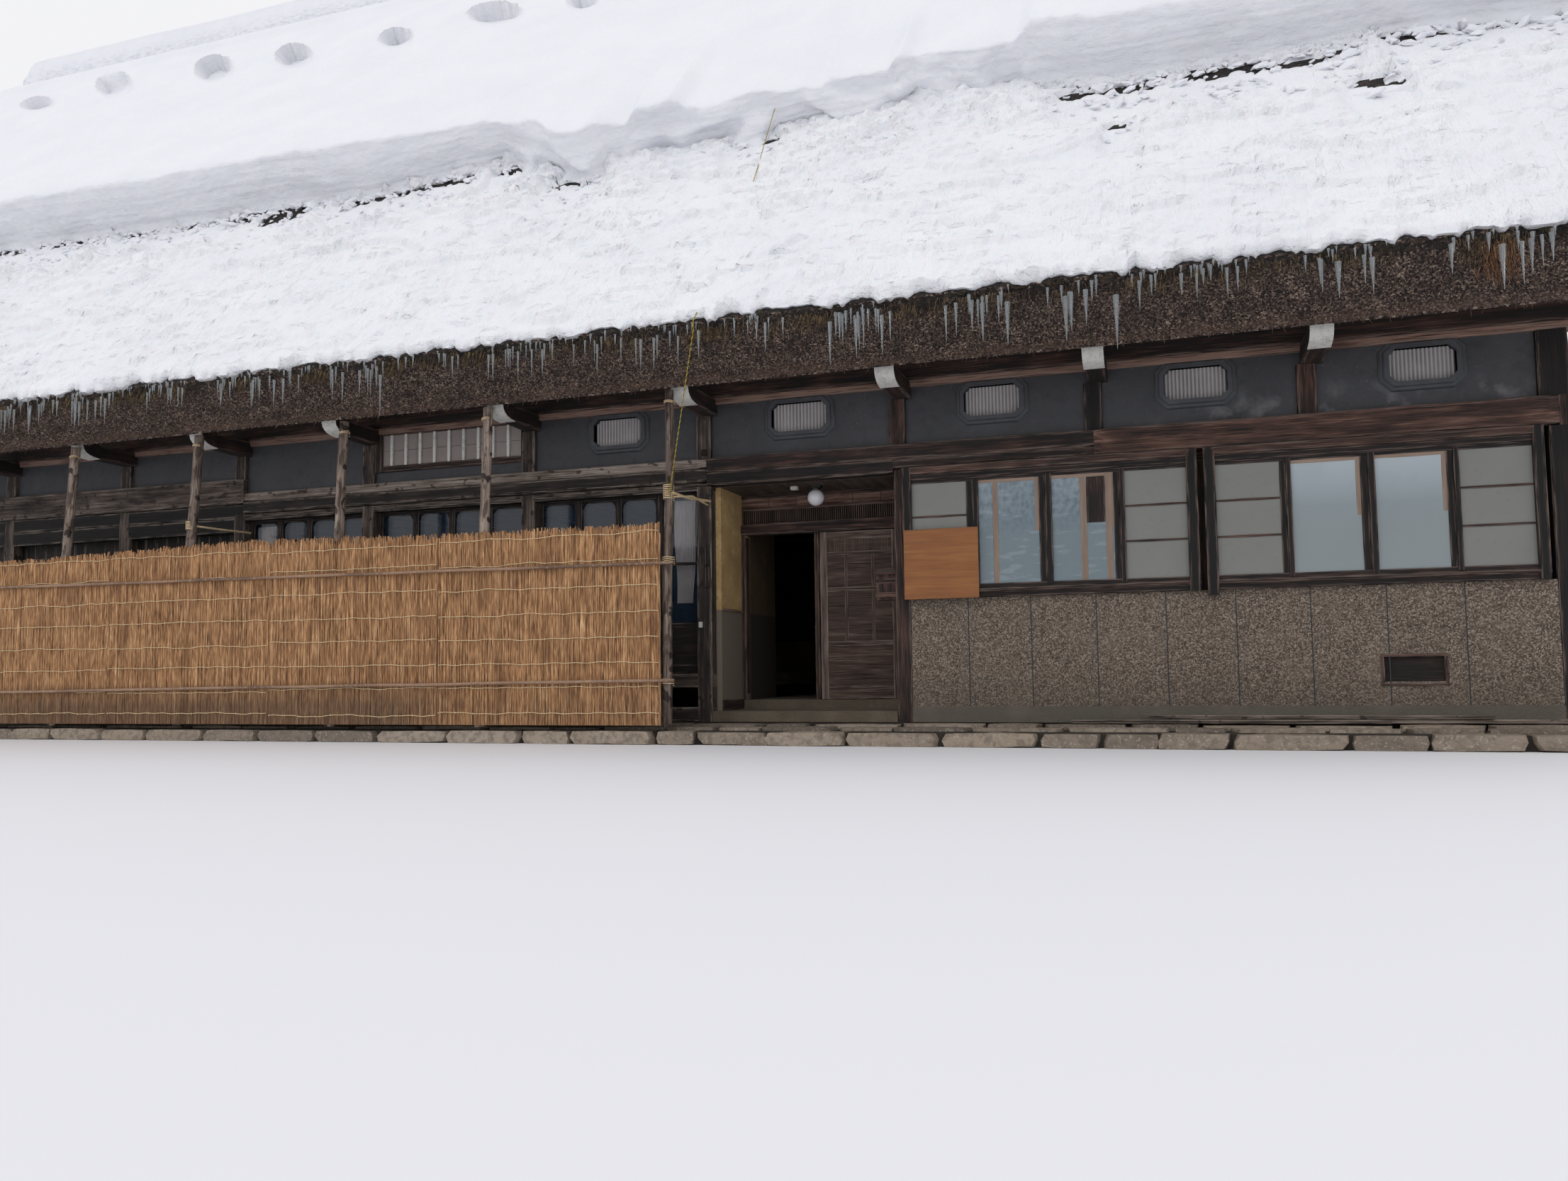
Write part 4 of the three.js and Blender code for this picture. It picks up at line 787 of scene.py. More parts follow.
# The two window units on the right: a moulded head and sill between posts, mullions, and four sliding
# sashes each. The end sashes have two thin bars and frosted glass, the middle ones a single pane.
UNITS = {"left": (6.290, 9.095, ((6.382, 6.929), (7.053, 7.635), (7.760, 8.335), (8.440, 8.994))),
         "right": (9.150, 11.901, ((9.253, 9.801), (9.899, 10.468), (10.588, 11.153), (11.252, 11.811)))}
UNIT_FACE, SILL_LOW, GLASS_LOW, SASH_BACK, PANE_BACK = FRONT - 0.08, 1.417, 1.548, -6.3, -6.424
random.seed(51)
frosted, clear, sash_bars, inner_stops = Build(), Build(), Build(), Build()
for side, (x0, x1, panes) in UNITS.items():
    unit = Build()
    for back_by, z0, y1, z1, ease, wave, tone in (
            (0.0, 2.672, WALL_INNER, BEAM_LOW, 0.008, 0.003, 0.52),
            (0.022, 2.612, WALL_INNER, 2.674, 0.006, 0.003, 0.14),
            (0.036, GLASS_TOP - 0.002, SASH_BACK, 2.614, 0.004, 0.002, 0.06),
            (0.0, SILL_LOW + 0.052, WALL_INNER, GLASS_LOW - 0.045, 0.008, 0.002, 0.34),
            (0.03, SILL_LOW, WALL_INNER, SILL_LOW + 0.056, 0.005, 0.002, 0.16),
            (0.030, GLASS_LOW - 0.048, SASH_BACK, GLASS_LOW + 0.002, 0.004, 0.002, 0.20)):
        timber(unit, (x0, UNIT_FACE + back_by, z0), (x1, y1, z1), ease, wave, tone)
    edges = [x0] + [edge for pane in panes for edge in pane] + [x1]
    for number, (a, b) in enumerate(zip(edges[::2], edges[1::2])):
        inner = 0 < number < 4
        face = UNIT_FACE + (0.02 if inner else 0.0)
        if inner:
            middle = (a + b) / 2
            for low_x, high_x, back_by, tone in ((a, middle + 0.004, 0.018, 0.04),
                                                 (middle + 0.002, b, 0.0, 0.12)):
                timber(unit, (low_x, face + back_by, GLASS_LOW - 0.03), (high_x, SASH_BACK, GLASS_TOP + 0.02),
                       0.004, 0.001, tone)
        else:
            foot = SILL_LOW - (0.05 if 9.0 < a < 9.2 else 0.0)
            timber(unit, (a, face, foot), (b, WALL_INNER, BEAM_LOW - 0.002), 0.006, 0.002, -0.04)
    settle(unit.piece(f"window_unit_{side}", old_cedar), "old_cedar", f"window_frame_{side}")
    for number, (a, b) in enumerate(panes):
        glass = frosted if number in (0, 3) else clear
        slab(glass, (a - 0.01, -6.430, GLASS_LOW - 0.01), (b + 0.01, PANE_BACK, GLASS_TOP + 0.01), number / 4)
        if number in (0, 3):
            for share in (0.345, 0.672):
                z = GLASS_LOW + (GLASS_TOP - GLASS_LOW) * share
                timber(sash_bars, (a - 0.005, -6.442, z - 0.011), (b + 0.005, PANE_BACK, z + 0.011),
                       0.003, 0.001, 0.42)
        else:
            for low_x, high_x, z, tone in ((b - 0.036, b + 0.008, GLASS_LOW + 0.50, 0.5),
                                           (a - 0.008, b - 0.037, GLASS_TOP - 0.034, 0.6)):
                timber(inner_stops, (low_x, -6.4345, z), (high_x, -6.395, GLASS_TOP + 0.008), 0.003, 0.0,
                       tone)
for x, half in ((7.215, 0.026), (8.055, 0.030), (8.29, 0.030)):
    timber(inner_stops, (x - half, -6.4348, GLASS_LOW - 0.008), (x + half, -6.36, GLASS_TOP + 0.008), 0.003,
           0.0, 0.45)
timber(sash_bars, (8.085, -6.4349, 2.10), (8.26, -6.40, GLASS_TOP + 0.008), 0.004, 0.0, 0.36)
settle(sash_bars.piece("sash_bars", old_cedar), "old_cedar")

# Planed softwood, orange-pink where the glass keeps it dry
planed = aged_wood("planed_softwood", [(0.0, "#5f4f44"), (0.5, "#8a7565"), (1.0, "#ab9787")], 0.6, spread=0.5,
                   cracked=0.0)
settle(inner_stops.piece("sash_inner_stops", planed), "boards")

# Frosted glass: even, pale grey, soft
frosted_glass = start_finish("frosted_glass", "#787974", 0.42)
mottle(frosted_glass, "#83847f", 500, 0.3, 0.7, most=0.5)
mottle(frosted_glass, "#686964", 60, 0.6, 0.7, most=0.2)
settle(frosted.piece("frosted_panes", frosted_glass), "window_glass", "window_glass_left",
       "window_glass_right")

# Clear glass, half seen through; its colour is a painted reflection of the bright yard: blue-grey, paler
# towards the top, with reflected twigs high up and a teal cast in the left-hand unit
clear_glass = start_finish("window_glass", "#929c9e", 0.06, Alpha=0.86)
lay(clear_glass, zone(clear_glass, 2, 1.9, 2.2), "#94a0a4")
lay(clear_glass, zone(clear_glass, 2, 2.15, 2.5), "#b4c0c6")
mottle(clear_glass, "#8a9699", 350, 0.45, 0.7, most=0.35)
west = zone(clear_glass, 0, 9.3, 9.1)
# Painted reflection of twigs, in the upper part of the left-hand unit
twig_reflection = patches(clear_glass, 45, 0.40, 0.66, (1, 1, 1.5), shift=4, detail=9, most=0.5)
lay(clear_glass, twig_reflection, "#3c4a54", zone(clear_glass, 2, 1.95, 2.25), west)
lay(clear_glass, west, "#4c6878", 0.45)
lay(clear_glass, patches(clear_glass, 60, 0.56, 0.64, (4, 1, 1), shift=6, most=0.3), "#aab4b8", west)
settle(clear.piece("clear_panes", clear_glass), "window_glass")

# Glass with an unlit room behind it, at the back, in the gables and behind the band's windows: near
# black, glossy, with a faint haze of dust
dim_glass = start_finish("unlit_glass", "#15191c", 0.12)
mottle(dim_glass, "#2a3136", 700, 0.4, 0.7, most=0.6)
paint(dim_glass, "band_glass_left", "band_glass_right", "back_glass", "gable_glass_left", "gable_glass_right")

# The veranda's glass: clean, so that the dark room and the curtains show through it; its blue-grey is a
# painted reflection of the sky
thin_glass = start_finish("veranda_glass", "#33465a", 0.05, Alpha=0.28, IOR=2.0)
mottle(thin_glass, "#485c70", 500, 0.45, 0.7, most=0.5)
paint(thin_glass, "veranda_glass_doors")


# The entrance recess: ochre earth plaster over a dark dado on the left wall, boards on the right, and a
# board soffit. Over the door a lattice of thin upright slats, with a rail and reddish boards above it.
# The plaster is earth and straw, matt and sandy, stained darker in patches, and near black towards the back
# of the recess, where shade is painted in.
WALL_FRONT, WALL_BACK = -5.62, -5.50
ENTRANCE_LEFT, DOOR_LEFT, DOOR_WIDTH, DOOR_HEAD = 4.245, 5.165, 0.895, 2.25
ochre = start_finish("ochre_earth_plaster", "#b89a68", 0.9)
mottle(ochre, "#937850", 350, 0.4, 0.7, most=0.6)
mottle(ochre, "#d8b98a", 160, 0.5, 0.7, shift=3, detail=6, most=0.5)
mottle(ochre, "#6e563b", 30, 0.58, 0.7, shift=8, most=0.5)
lay(ochre, zone(ochre, 2, 1.385, 1.38), "#756b5e")
# Painted shade: near black towards the back of the recess
lay(ochre, zone(ochre, 1, -5.66, -5.3, 0.85), "#17120d")
roughen(ochre, 16, 1.5)
paint(ochre, "entrance_side_wall_left")
recess_boards = aged_wood("recess_boards", [(0.0, "#1c1512"), (0.5, "#3f2f27"), (1.0, "#6a4c3c")],
                          drawn=(0.06, 0.06, 1))
paint(recess_boards, "entrance_side_wall_right")
paint(floor_boards, "entrance_soffit")

random.seed(61)
over_door = Build()
slab(over_door, (ENTRANCE_LEFT, WALL_FRONT + 0.05, DOOR_HEAD), (ENTRANCE_RIGHT, WALL_BACK, LINTEL_LOW), 0.1)
for z0, z1, tone, y0, y1 in ((DOOR_HEAD, 2.375, 0.42, WALL_FRONT - 0.03, WALL_BACK + 0.005),
                             (2.525, 2.56, 0.62, WALL_FRONT, WALL_BACK - 0.02),
                             (2.66, LINTEL_LOW, 0.4, WALL_FRONT, WALL_BACK - 0.02)):
    rail(over_door, ENTRANCE_LEFT, ENTRANCE_RIGHT, z0, z1, tone, y0, y1)
HEAD_BOARD = 0.3238
for number in range(6):
    x = ENTRANCE_LEFT + number * HEAD_BOARD
    slab(over_door, (x + 0.003, WALL_FRONT + 0.03, 2.556),
         (x + HEAD_BOARD - 0.003, WALL_FRONT + 0.052, 2.665),
         random.uniform(0.7, 0.9))
for x, inward in ((4.27, -0.012), (5.115, 0.045), (6.16, -0.012)):
    upright(over_door, x, 0.4, 2.30, 0.45, WALL_FRONT + inward, WALL_BACK, 0.03)
settle(over_door.piece("entrance_head", old_cedar), "old_cedar", "entrance_transom")


def grown(name, tree, seeds, **values):
    """Runs a Geometry Nodes tree on a mesh of seed points and returns what it grows as a plain mesh."""
    start = shown(name + "_seeds", seeds)
    modifier = start.modifiers.new("grow", "NODES")
    modifier.node_group = tree
    for item in tree.interface.items_tree:
        if item.item_type == "SOCKET" and item.in_out == "INPUT" and item.name in values:
            modifier[item.identifier] = values[item.name]
    grown_object = start.evaluated_get(bpy.context.evaluated_depsgraph_get())
    mesh = bpy.data.meshes.new_from_object(grown_object)
    start.modifiers.remove(modifier)
    bpy.data.objects.remove(start)
    mesh.name = name
    mesh.shade_smooth()
    mesh.set_sharp_from_angle(angle=math.radians(40))
    return shown(name, mesh)


def grow_tree(name, *sizes):
    """The start of a Geometry Nodes tree: its inputs are seed points and sizes."""
    tree = bpy.data.node_groups.new(name, "GeometryNodeTree")
    tree.interface.new_socket("Geometry", in_out="INPUT", socket_type="NodeSocketGeometry")
    for size in sizes:
        tree.interface.new_socket(size, in_out="INPUT", socket_type="NodeSocketFloat")
    tree.interface.new_socket("Geometry", in_out="OUTPUT", socket_type="NodeSocketGeometry")
    return tree, tree.nodes.new("NodeGroupInput").outputs


def plant(tree, given, shape, finish, push=None, waves=(1.0, 1.0, 1.0), detail=2.0):
    """The rest of the tree: the shape on every seed point, in the size and turn that the point carries,
    made real, pushed about by noise of so many waves a metre, and finished."""
    size = add(tree, "GeometryNodeInputNamedAttribute", {"Name": "size"}, data_type="FLOAT_VECTOR")
    turn = add(tree, "GeometryNodeInputNamedAttribute", {"Name": "turn"}, data_type="FLOAT_VECTOR")
    copies = add(tree, "GeometryNodeInstanceOnPoints", {
        "Points": given["Geometry"], "Instance": shape, "Scale": size,
        "Rotation": add(tree, "FunctionNodeEulerToRotation", {0: turn})})
    whole = add(tree, "GeometryNodeRealizeInstances", {0: copies})
    if push is not None:
        place = add(tree, "GeometryNodeInputPosition")
        waved = add(tree, "ShaderNodeVectorMath", {0: place, 1: waves}, operation="MULTIPLY")
        cloud = add(tree, "ShaderNodeTexNoise", {"Vector": waved, "Scale": 1.0, "Detail": detail})
        centred = add(tree, "ShaderNodeVectorMath", {0: cloud.outputs["Color"], 1: (0.5, 0.5, 0.5)},
                      operation="SUBTRACT")
        pushed = add(tree, "ShaderNodeVectorMath", {0: centred, 1: push}, operation="MULTIPLY")
        whole = add(tree, "GeometryNodeSetPosition", {0: whole, "Offset": pushed})
    dressed = add(tree, "GeometryNodeSetMaterial", {"Geometry": whole, "Material": finish})
    add(tree, "NodeGroupOutput", {0: dressed})


def seeds_at(places, sizes, turns=None):
    """A mesh of loose points, each with the size and the turn of what grows on it."""
    mesh = bpy.data.meshes.new("seeds")
    mesh.from_pydata(places, [], [])
    for fact, values in (("size", sizes), ("turn", turns or [(0.0, 0.0, 0.0)] * len(places))):
        mesh.attributes.new(fact, "FLOAT_VECTOR", "POINT").data.foreach_set(
            "vector", [part for vector in values for part in vector])
    return mesh


# Thin planed slats, darker than the boards round them
slat_wood = aged_wood("lattice_slats", [(0.0, "#211814"), (0.5, "#48382f"), (1.0, "#6f5b4e")], 0.7,
                      drawn=(0.06, 0.06, 1))
SLAT, SLAT_STEP, SLAT_LENGTH = 0.012, 0.024, 0.154
slats, given = grow_tree("lattice", "width", "depth")
section = add(slats, "ShaderNodeCombineXYZ", {0: given["width"], 1: given["depth"], 2: 1.0})
plant(slats, given, add(slats, "GeometryNodeMeshCube", {"Size": section}), slat_wood)
count = int((ENTRANCE_RIGHT - ENTRANCE_LEFT - 0.03) / SLAT_STEP)
places = [(ENTRANCE_LEFT + 0.025 + number * SLAT_STEP, WALL_FRONT + 0.022, 2.45) for number in range(count)]
lattice = grown("entrance_lattice", slats, seeds_at(places, [(1, 1, SLAT_LENGTH)] * count), width=SLAT,
                depth=0.02)
settle(lattice, "old_cedar")

# The dado's cap and the strips of boards at its foot
trim = Build()
for z0, z1, proud, tone in ((1.37, 1.40, 0.018, 0.75), (0.30, 0.42, 0.022, 0.4)):
    timber(trim, (ENTRANCE_LEFT - 0.002, FRONT + 0.15, z0), (ENTRANCE_LEFT + proud, WALL_FRONT, z1), 0.004,
           0.001, tone)
settle(trim.piece("dado_trim", old_cedar), "old_cedar")


# The two leaves of the door: stiles and rails round plain boards, with a row of thin slats under the
# top rail. The right-hand leaf stays; the front one slides to the left in the sill.
def door_leaf(name, x, y, body, *replaced):
    random.seed(71)
    leaf = Build()
    low, high = (0.405, 2.245) if body == "sliding_door" else (0.401, 2.249)
    slab(leaf, (x + 0.04, y + 0.010, low + 0.03), (x + DOOR_WIDTH - 0.04, y + 0.020, high - 0.04), 0.45)
    for a, b, tone in ((0.0, 0.085, 0.72), (DOOR_WIDTH - 0.085, DOOR_WIDTH, 0.5)):
        timber(leaf, (x + a, y, low), (x + b, y + 0.030, high), 0.003, 0.001, tone, 0.3)
    for a, b in ((low, low + 0.14), (0.98, 1.04), (1.58, 1.63), (1.98, 2.02), (high - 0.09, high)):
        timber(leaf, (x + 0.08, y + 0.002, a), (x + DOOR_WIDTH - 0.08, y + 0.028, b), 0.003, 0.001, 0.55, 0.3)
    for share in (0.33, 0.67):
        middle = x + DOOR_WIDTH * share
        timber(leaf, (middle - 0.018, y + 0.005, 1.04), (middle + 0.018, y + 0.026, 1.98), 0.003, 0.001, 0.5,
               0.3)
    for middle in (x + 0.12, x + DOOR_WIDTH - 0.12) if body == "sliding_door" else ():
        slab(leaf, (middle - 0.04, y + 0.009, 0.4005), (middle + 0.04, y + 0.021, 0.41), 0.3)
    settle(leaf.piece(name, door_wood), "old_cedar", *replaced, body=body)
    count = int((DOOR_WIDTH - 0.18) / SLAT_STEP)
    places = [(x + 0.095 + number * SLAT_STEP, y + 0.013, 2.088) for number in range(count)]
    rows = grown(name + "_slats", slats, seeds_at(places, [(1, 1, 0.14)] * count), width=SLAT, depth=0.010)
    settle(rows, "old_cedar", body=body)


# Planed cedar door: brown, greyed at the hand edge
door_wood = aged_wood("door_cedar", [(0.0, "#241914"), (0.5, "#47332a"), (0.8, "#6b5a50"), (1.0, "#857970")],
                      0.7)
door_leaf("door_leaf_sliding", DOOR_LEFT, WALL_FRONT + 0.008, "sliding_door", "entrance_door")
door_leaf("door_leaf_fixed", DOOR_LEFT + 0.002, WALL_FRONT + 0.060, "house", "entrance_fixed_leaf")


# Small fittings of the entrance: an opal glass globe under a black cup, a white junction box, a wooden
# box for letters with a sloping lid, and the board beside the door, which is bare.
lamp = Build()
LAMP = Vector((5.245, -6.0, 2.573))


def turned(build, centre, outline, sides=20, tone=0.5):
    """A solid turned about an upright axis: outline gives (radius, height) from the bottom up."""
    points = [centre + Vector((radius * math.cos(2 * math.pi * side / sides),
                               radius * math.sin(2 * math.pi * side / sides), z))
              for radius, z in outline for side in range(sides)]
    faces = [(row * sides + side, row * sides + (side + 1) % sides, (row + 1) * sides + (side + 1) % sides,
              (row + 1) * sides + side) for row in range(len(outline) - 1) for side in range(sides)]
    ends = [tuple(range(sides))[::-1], tuple(range((len(outline) - 1) * sides, len(outline) * sides))]
    build.put(points, faces + ends, None, tone)


turned(lamp, LAMP, [(0.09 * math.sin(math.radians(angle)), -0.09 * math.cos(math.radians(angle)))
                    for angle in range(4, 160, 8)], 28)
# Opal glass: white through its thickness, glossy
opal = start_finish("opal_glass", "#dcdcde", 0.18)
mottle(opal, "#c9cacd", 60, 0.4, 0.7, most=0.3)
settle(lamp.piece("globe_lamp_glass", opal), "lamp_glass", "globe_lamp")
cup = Build()
turned(cup, LAMP, [(0.030, 0.075), (0.048, 0.078), (0.050, 0.10), (0.030, 0.115), (0.028, 0.1329)])
timber(cup, (5.20, -6.04, LINTEL_LOW - 0.03), (5.31, -5.96, LINTEL_LOW), 0.004, 0.0)
# Painted iron: black gloss gone dull, with rust in spots
black_iron = start_finish("painted_iron", "#1a1a1b", 0.4)
mottle(black_iron, "#3a322c", 20, 0.55, 0.7, most=0.5)
settle(cup.piece("lamp_cup", black_iron), "old_cedar")
box = Build()
slab(box, (4.97, -6.04, 2.668), (5.045, -5.98, LINTEL_LOW), 0.5)
slab(box, (4.047, -6.420, 1.19), (4.085, -6.399, 1.25), 0.5)
# Moulded urea plastic, white gone slightly yellow
white_plastic = start_finish("moulded_white_plastic", "#c9c7c0", 0.4)
mottle(white_plastic, "#aaa69c", 40, 0.5, 0.7, most=0.3)
settle(box.piece("junction_boxes", white_plastic), "lamp_glass")

letters = Build()
low, high = Vector((5.945, -6.23, 1.43)), Vector((6.186, -6.08, 1.70))
timber(letters, low, high, 0.004, 0.001, 0.5, 0.1)
for z in (1.46, 1.60):
    timber(letters, (5.94, -6.236, z), (6.186, -6.228, z + 0.05), 0.002, 0.0, 0.65, 0.1)
lid = [(x, y, z) for x in (5.925, 6.187)
       for y, z in ((-6.255, 1.695), (-6.075, 1.745), (-6.075, 1.762), (-6.255, 1.712))]
letters.put(lid, [(0, 1, 2, 3)[::-1], (4, 5, 6, 7), (0, 1, 5, 4), (1, 2, 6, 5), (2, 3, 7, 6), (3, 0, 4, 7)],
            None, 0.4)
settle(letters.piece("letter_box", old_cedar), "boards", "mailbox")

board = Build()
BOARD_X, BOARD_Z, BOARD_FACE = (6.305, 7.047), (1.41, 2.11), UNIT_FACE - 0.025
timber(board, (BOARD_X[0], BOARD_FACE, BOARD_Z[0]), (BOARD_X[1], UNIT_FACE - 0.001, BOARD_Z[1]), 0.0025,
       0.0006, 0.5, 0.1)
# Varnished keyaki: orange-brown, with a fine grain and a dull shine
sign_wood = aged_wood("varnished_keyaki", [(0.0, "#5a3413"), (0.5, "#89521f"), (1.0, "#a87236")], 0.42,
                      depth_mm=0.3, spread=0.6, worn="#6a4526", cracked=0.12)
settle(board.piece("bare_board", sign_wood), "sign_wood", "name_board")

post_plates = Build()
for z0, z1 in ((1.62, 1.83), (1.86, 2.07)):
    timber(post_plates, (4.125, -6.425, z0), (4.175, -6.400, z1), 0.003, 0.001, 0.2, 0.1)
turned(post_plates, Vector((4.14, -6.455, 3.06)),
       [(0.03, -0.03), (0.034, -0.02), (0.034, 0.02), (0.028, 0.03)], 16, 0.1)
settle(post_plates.piece("post_plates_and_sensor", old_cedar), "old_cedar")


# The veranda on the left: sliding sashes of glass between the posts, each with a rounded head, a mid
# rail and a boarded foot, and wooden rain shutters in the end bays. Only their tops clear the screen.
random.seed(81)
sashes = Build()
SASH_REAR, SASH_FACE, HEAD_ROUND = FRONT + POST_DEPTH - 0.002, FRONT + POST_DEPTH - 0.022, 0.07
for left, right in zip(STRUTS[7:3:-1], STRUTS[6:3:-1]):
    x0, x1 = left + POST_HALF, right - POST_HALF
    for number in range(4):
        a, b = x0 + (x1 - x0) * number / 4, x0 + (x1 - x0) * (number + 1) / 4
        tone = random.uniform(-0.04, 0.16)
        for x in (a + 0.022, b - 0.022):
            upright(sashes, x, FLOOR_TOP, SASH_TOP, tone, SASH_FACE, SASH_REAR, 0.022)
        for z0, z1 in ((FLOOR_TOP, FLOOR_TOP + 0.10), (1.20, 1.25), (1.875, 1.915),
                       (SASH_TOP - 0.04, SASH_TOP)):
            rail(sashes, a + 0.02, b - 0.02, z0, z1, tone, SASH_FACE + 0.003, SASH_REAR)
        slab(sashes, (a + 0.04, SASH_FACE + 0.01, FLOOR_TOP + 0.09), (b - 0.04, SASH_FACE + 0.018, 1.21),
             0.25)
        for corner, turn in ((a + 0.044, 1), (b - 0.044, -1)):
            z = SASH_TOP - 0.04
            shape = [(corner, z), (corner, z - HEAD_ROUND)] + [
                (corner + turn * HEAD_ROUND * (1 - math.cos(angle)), z - HEAD_ROUND * (1 - math.sin(angle)))
                for angle in (math.radians(degrees) for degrees in (22, 45, 68, 90))]
            sides = len(shape)
            points = [(px, y, pz) for y in (SASH_FACE + 0.004, SASH_REAR - 0.002) for px, pz in shape]
            faces = [tuple(range(sides))[::turn], tuple(range(sides, 2 * sides))[::-turn]]
            faces += [(i, (i + 1) % sides, sides + (i + 1) % sides, sides + i)[::-turn] for i in range(sides)]
            sashes.put(points, faces, None, tone)
settle(sashes.piece("veranda_sashes", old_cedar), "old_cedar")

shutters = Build()
SHUTTER_STEP, POST_BACK = 0.174, FRONT + POST_DEPTH
x = -CORNER_IN + 0.002
while x < END_JOINT - 0.1:
    timber(shutters, (x, POST_BACK + 0.004, FLOOR_TOP),
           (min(x + 0.172, END_JOINT - 0.003), POST_BACK + 0.033, END_BEAM_LOW),
           0.003, 0.001, random.uniform(0.0, 0.14), 0.8)
    x += SHUTTER_STEP
for z in (0.9, 1.6, 2.3):
    rail(shutters, -CORNER_IN + 0.002, END_JOINT - 0.003, z, z + 0.05, 0.4, POST_BACK - 0.018,
         POST_BACK + 0.006)
settle(shutters.piece("rain_shutter_boards", grey_cedar), "boards", "rain_shutters")


# Two curtains behind the veranda glass, gathered on a cord. Plain unbleached cotton, hung loose.
def gathered(x0, x1, z0, z1, folds, depth, drawn_in):
    """A curtain from x0 to x1 whose folds open towards the hem. Returns it with its flat width."""
    build, across, down = Build(), 72, 26
    y = FRONT + POST_DEPTH + 0.060

    def place(a, b, c):
        slack = 1 - b
        x = x0 + (x1 - x0) * (a + drawn_in * slack * (0.5 - a))
        sway = math.sin(a * folds * 2 * math.pi + 0.5 * math.sin(a * 9)) * depth * (0.6 + 0.4 * slack)
        return x + 0.01 * math.sin(b * 7 + a * 5), y - sway - c * 0.0012, z0 + (z1 - z0) * b

    crust(build, (across, down, 1), place)
    row = [Vector(place(i / across, 0.5, 0)) for i in range(across + 1)]
    return build, sum((far - near).length for near, far in zip(row, row[1:]))


# Unbleached cotton: grey with age, matt, a plain weave of 2 mm threads drawn coarse enough to show
cotton = start_finish("unbleached_cotton", "#f4ece6", 0.95)
THREAD_MM = 4
cloth_place = add(cotton, "ShaderNodeTexCoord").outputs["Object"]
for turn in ("X", "Z"):
    weave = {"Vector": cloth_place, "Scale": 1000 / THREAD_MM / 20, "Distortion": 0.4}
    threads = add(cotton, "ShaderNodeTexWave", weave, bands_direction=turn)
    emboss(cotton, threads.outputs["Fac"], 0.5)
mottle(cotton, "#d8cfc8", 90, 0.4, 0.7, most=0.4)
for name, x0, x1, z0, z1, folds in (("curtain_by_entrance", 3.67, 3.93, 1.47, 2.60, 7),
                                    ("curtain_left", -2.02, -1.72, 2.20, 2.60, 5)):
    build, flat_width = gathered(x0, x1, z0, z1, folds, 0.016, 0.25)
    curtain = build.piece(name, cotton, crease=80)
    if name == "curtain_by_entrance":
        settle(curtain, "curtain_cloth", "veranda_curtain")
    else:
        settle(curtain, "curtain_cloth")


# The snow screen's posts and rear rails: debarked cedar poles with their knots, lashed to the arms.
random.seed(91)
POST_XS = [x + offset for x, offset in zip(STRUTS[4:10], (-0.05, -0.04, 0.26, 0.07, 0.0, -0.05))]
POST_LEANS = (0.012, 0.02, 0.045, 0.06, 0.07, -0.02)


def noise_at(x, y, z):
    """Smooth noise from -1 to 1."""
    return noise.noise(Vector((x, y, z)))


def pole_x(number, z):
    return POST_XS[number] + POST_LEANS[number] * (z - 2.3)


POST_Y = FRONT - 0.8
poles = Build()
for number, x in enumerate(POST_XS):
    heights = [PLINTH_TOP - 0.02 + (PLATE_LOW - PLINTH_TOP) * share / 40 for share in range(41)]
    sway, thick = random.uniform(0, 20), 0.052 if x > 4 else 0.060
    path = [(pole_x(number, z) + 0.022 * noise_at(sway, z * 0.8, 0), POST_Y + 0.008 * noise_at(sway, z, 9), z)
            for z in heights]
    girth = [thick - 0.009 * z / 3.6 + 0.004 * max(0.0, noise_at(sway, z * 3.5, 3)) for z in heights]
    tube(poles, path, girth, 14, random.uniform(0.35, 0.75), 0.14)
for z in (0.60, 1.84):
    path = [(POST_XS[-1] + (POST_XS[0] - POST_XS[-1]) * share / 24, POST_Y + 0.01 * noise_at(share, z, 4), z)
            for share in range(25)]
    tube(poles, path, 0.028, 8, 0.5, 0.1)
# Debarked cedar pole: brown and weathered in streaks, with strips of dark bark left on
pole_wood = aged_wood("debarked_cedar_pole", [
    (0.0, "#1c1512"), (0.3, "#4c3e36"), (0.6, "#7c6c60"), (1.0, "#aa9b8d")], spread=1.25, knotty=0.9)
lengthwise = add(pole_wood, "ShaderNodeAttribute", attribute_name="grain").outputs["Vector"]
bark = patches(pole_wood, 190, 0.54, 0.60, (1, 0.3, 0.3), lengthwise, shift=13, detail=5, most=0.72)
lay(pole_wood, bark, "#3a2a22")
emboss(pole_wood, bark, 3)
settle(poles.piece("screen_poles", pole_wood), "log_wood", "screen_posts")


# The screen itself: reed mats set on end, stitched with rows of straw twine, in four panels, and held
# against the poles by bamboo rails. Its top is ragged and stands a little higher in the middle.
SCREEN_X, SCREEN_BACK, SCREEN_FACE = (-6.155, 3.995), POST_Y - 0.05, POST_Y - 0.09
SEAMS = (-3.175, -0.815, 1.405)


def screen_top(x):
    """The height of the mat's top along the screen, without its raggedness."""
    marks = ((-6.2, 2.17), (-4.36, 2.19), (-1.2, 2.27), (1.4, 2.21), (4.0, 2.20))
    for (a, low), (b, high) in zip(marks, marks[1:]):
        if x <= b:
            return low + (high - low) * (x - a) / (b - a)
    return marks[-1][1]


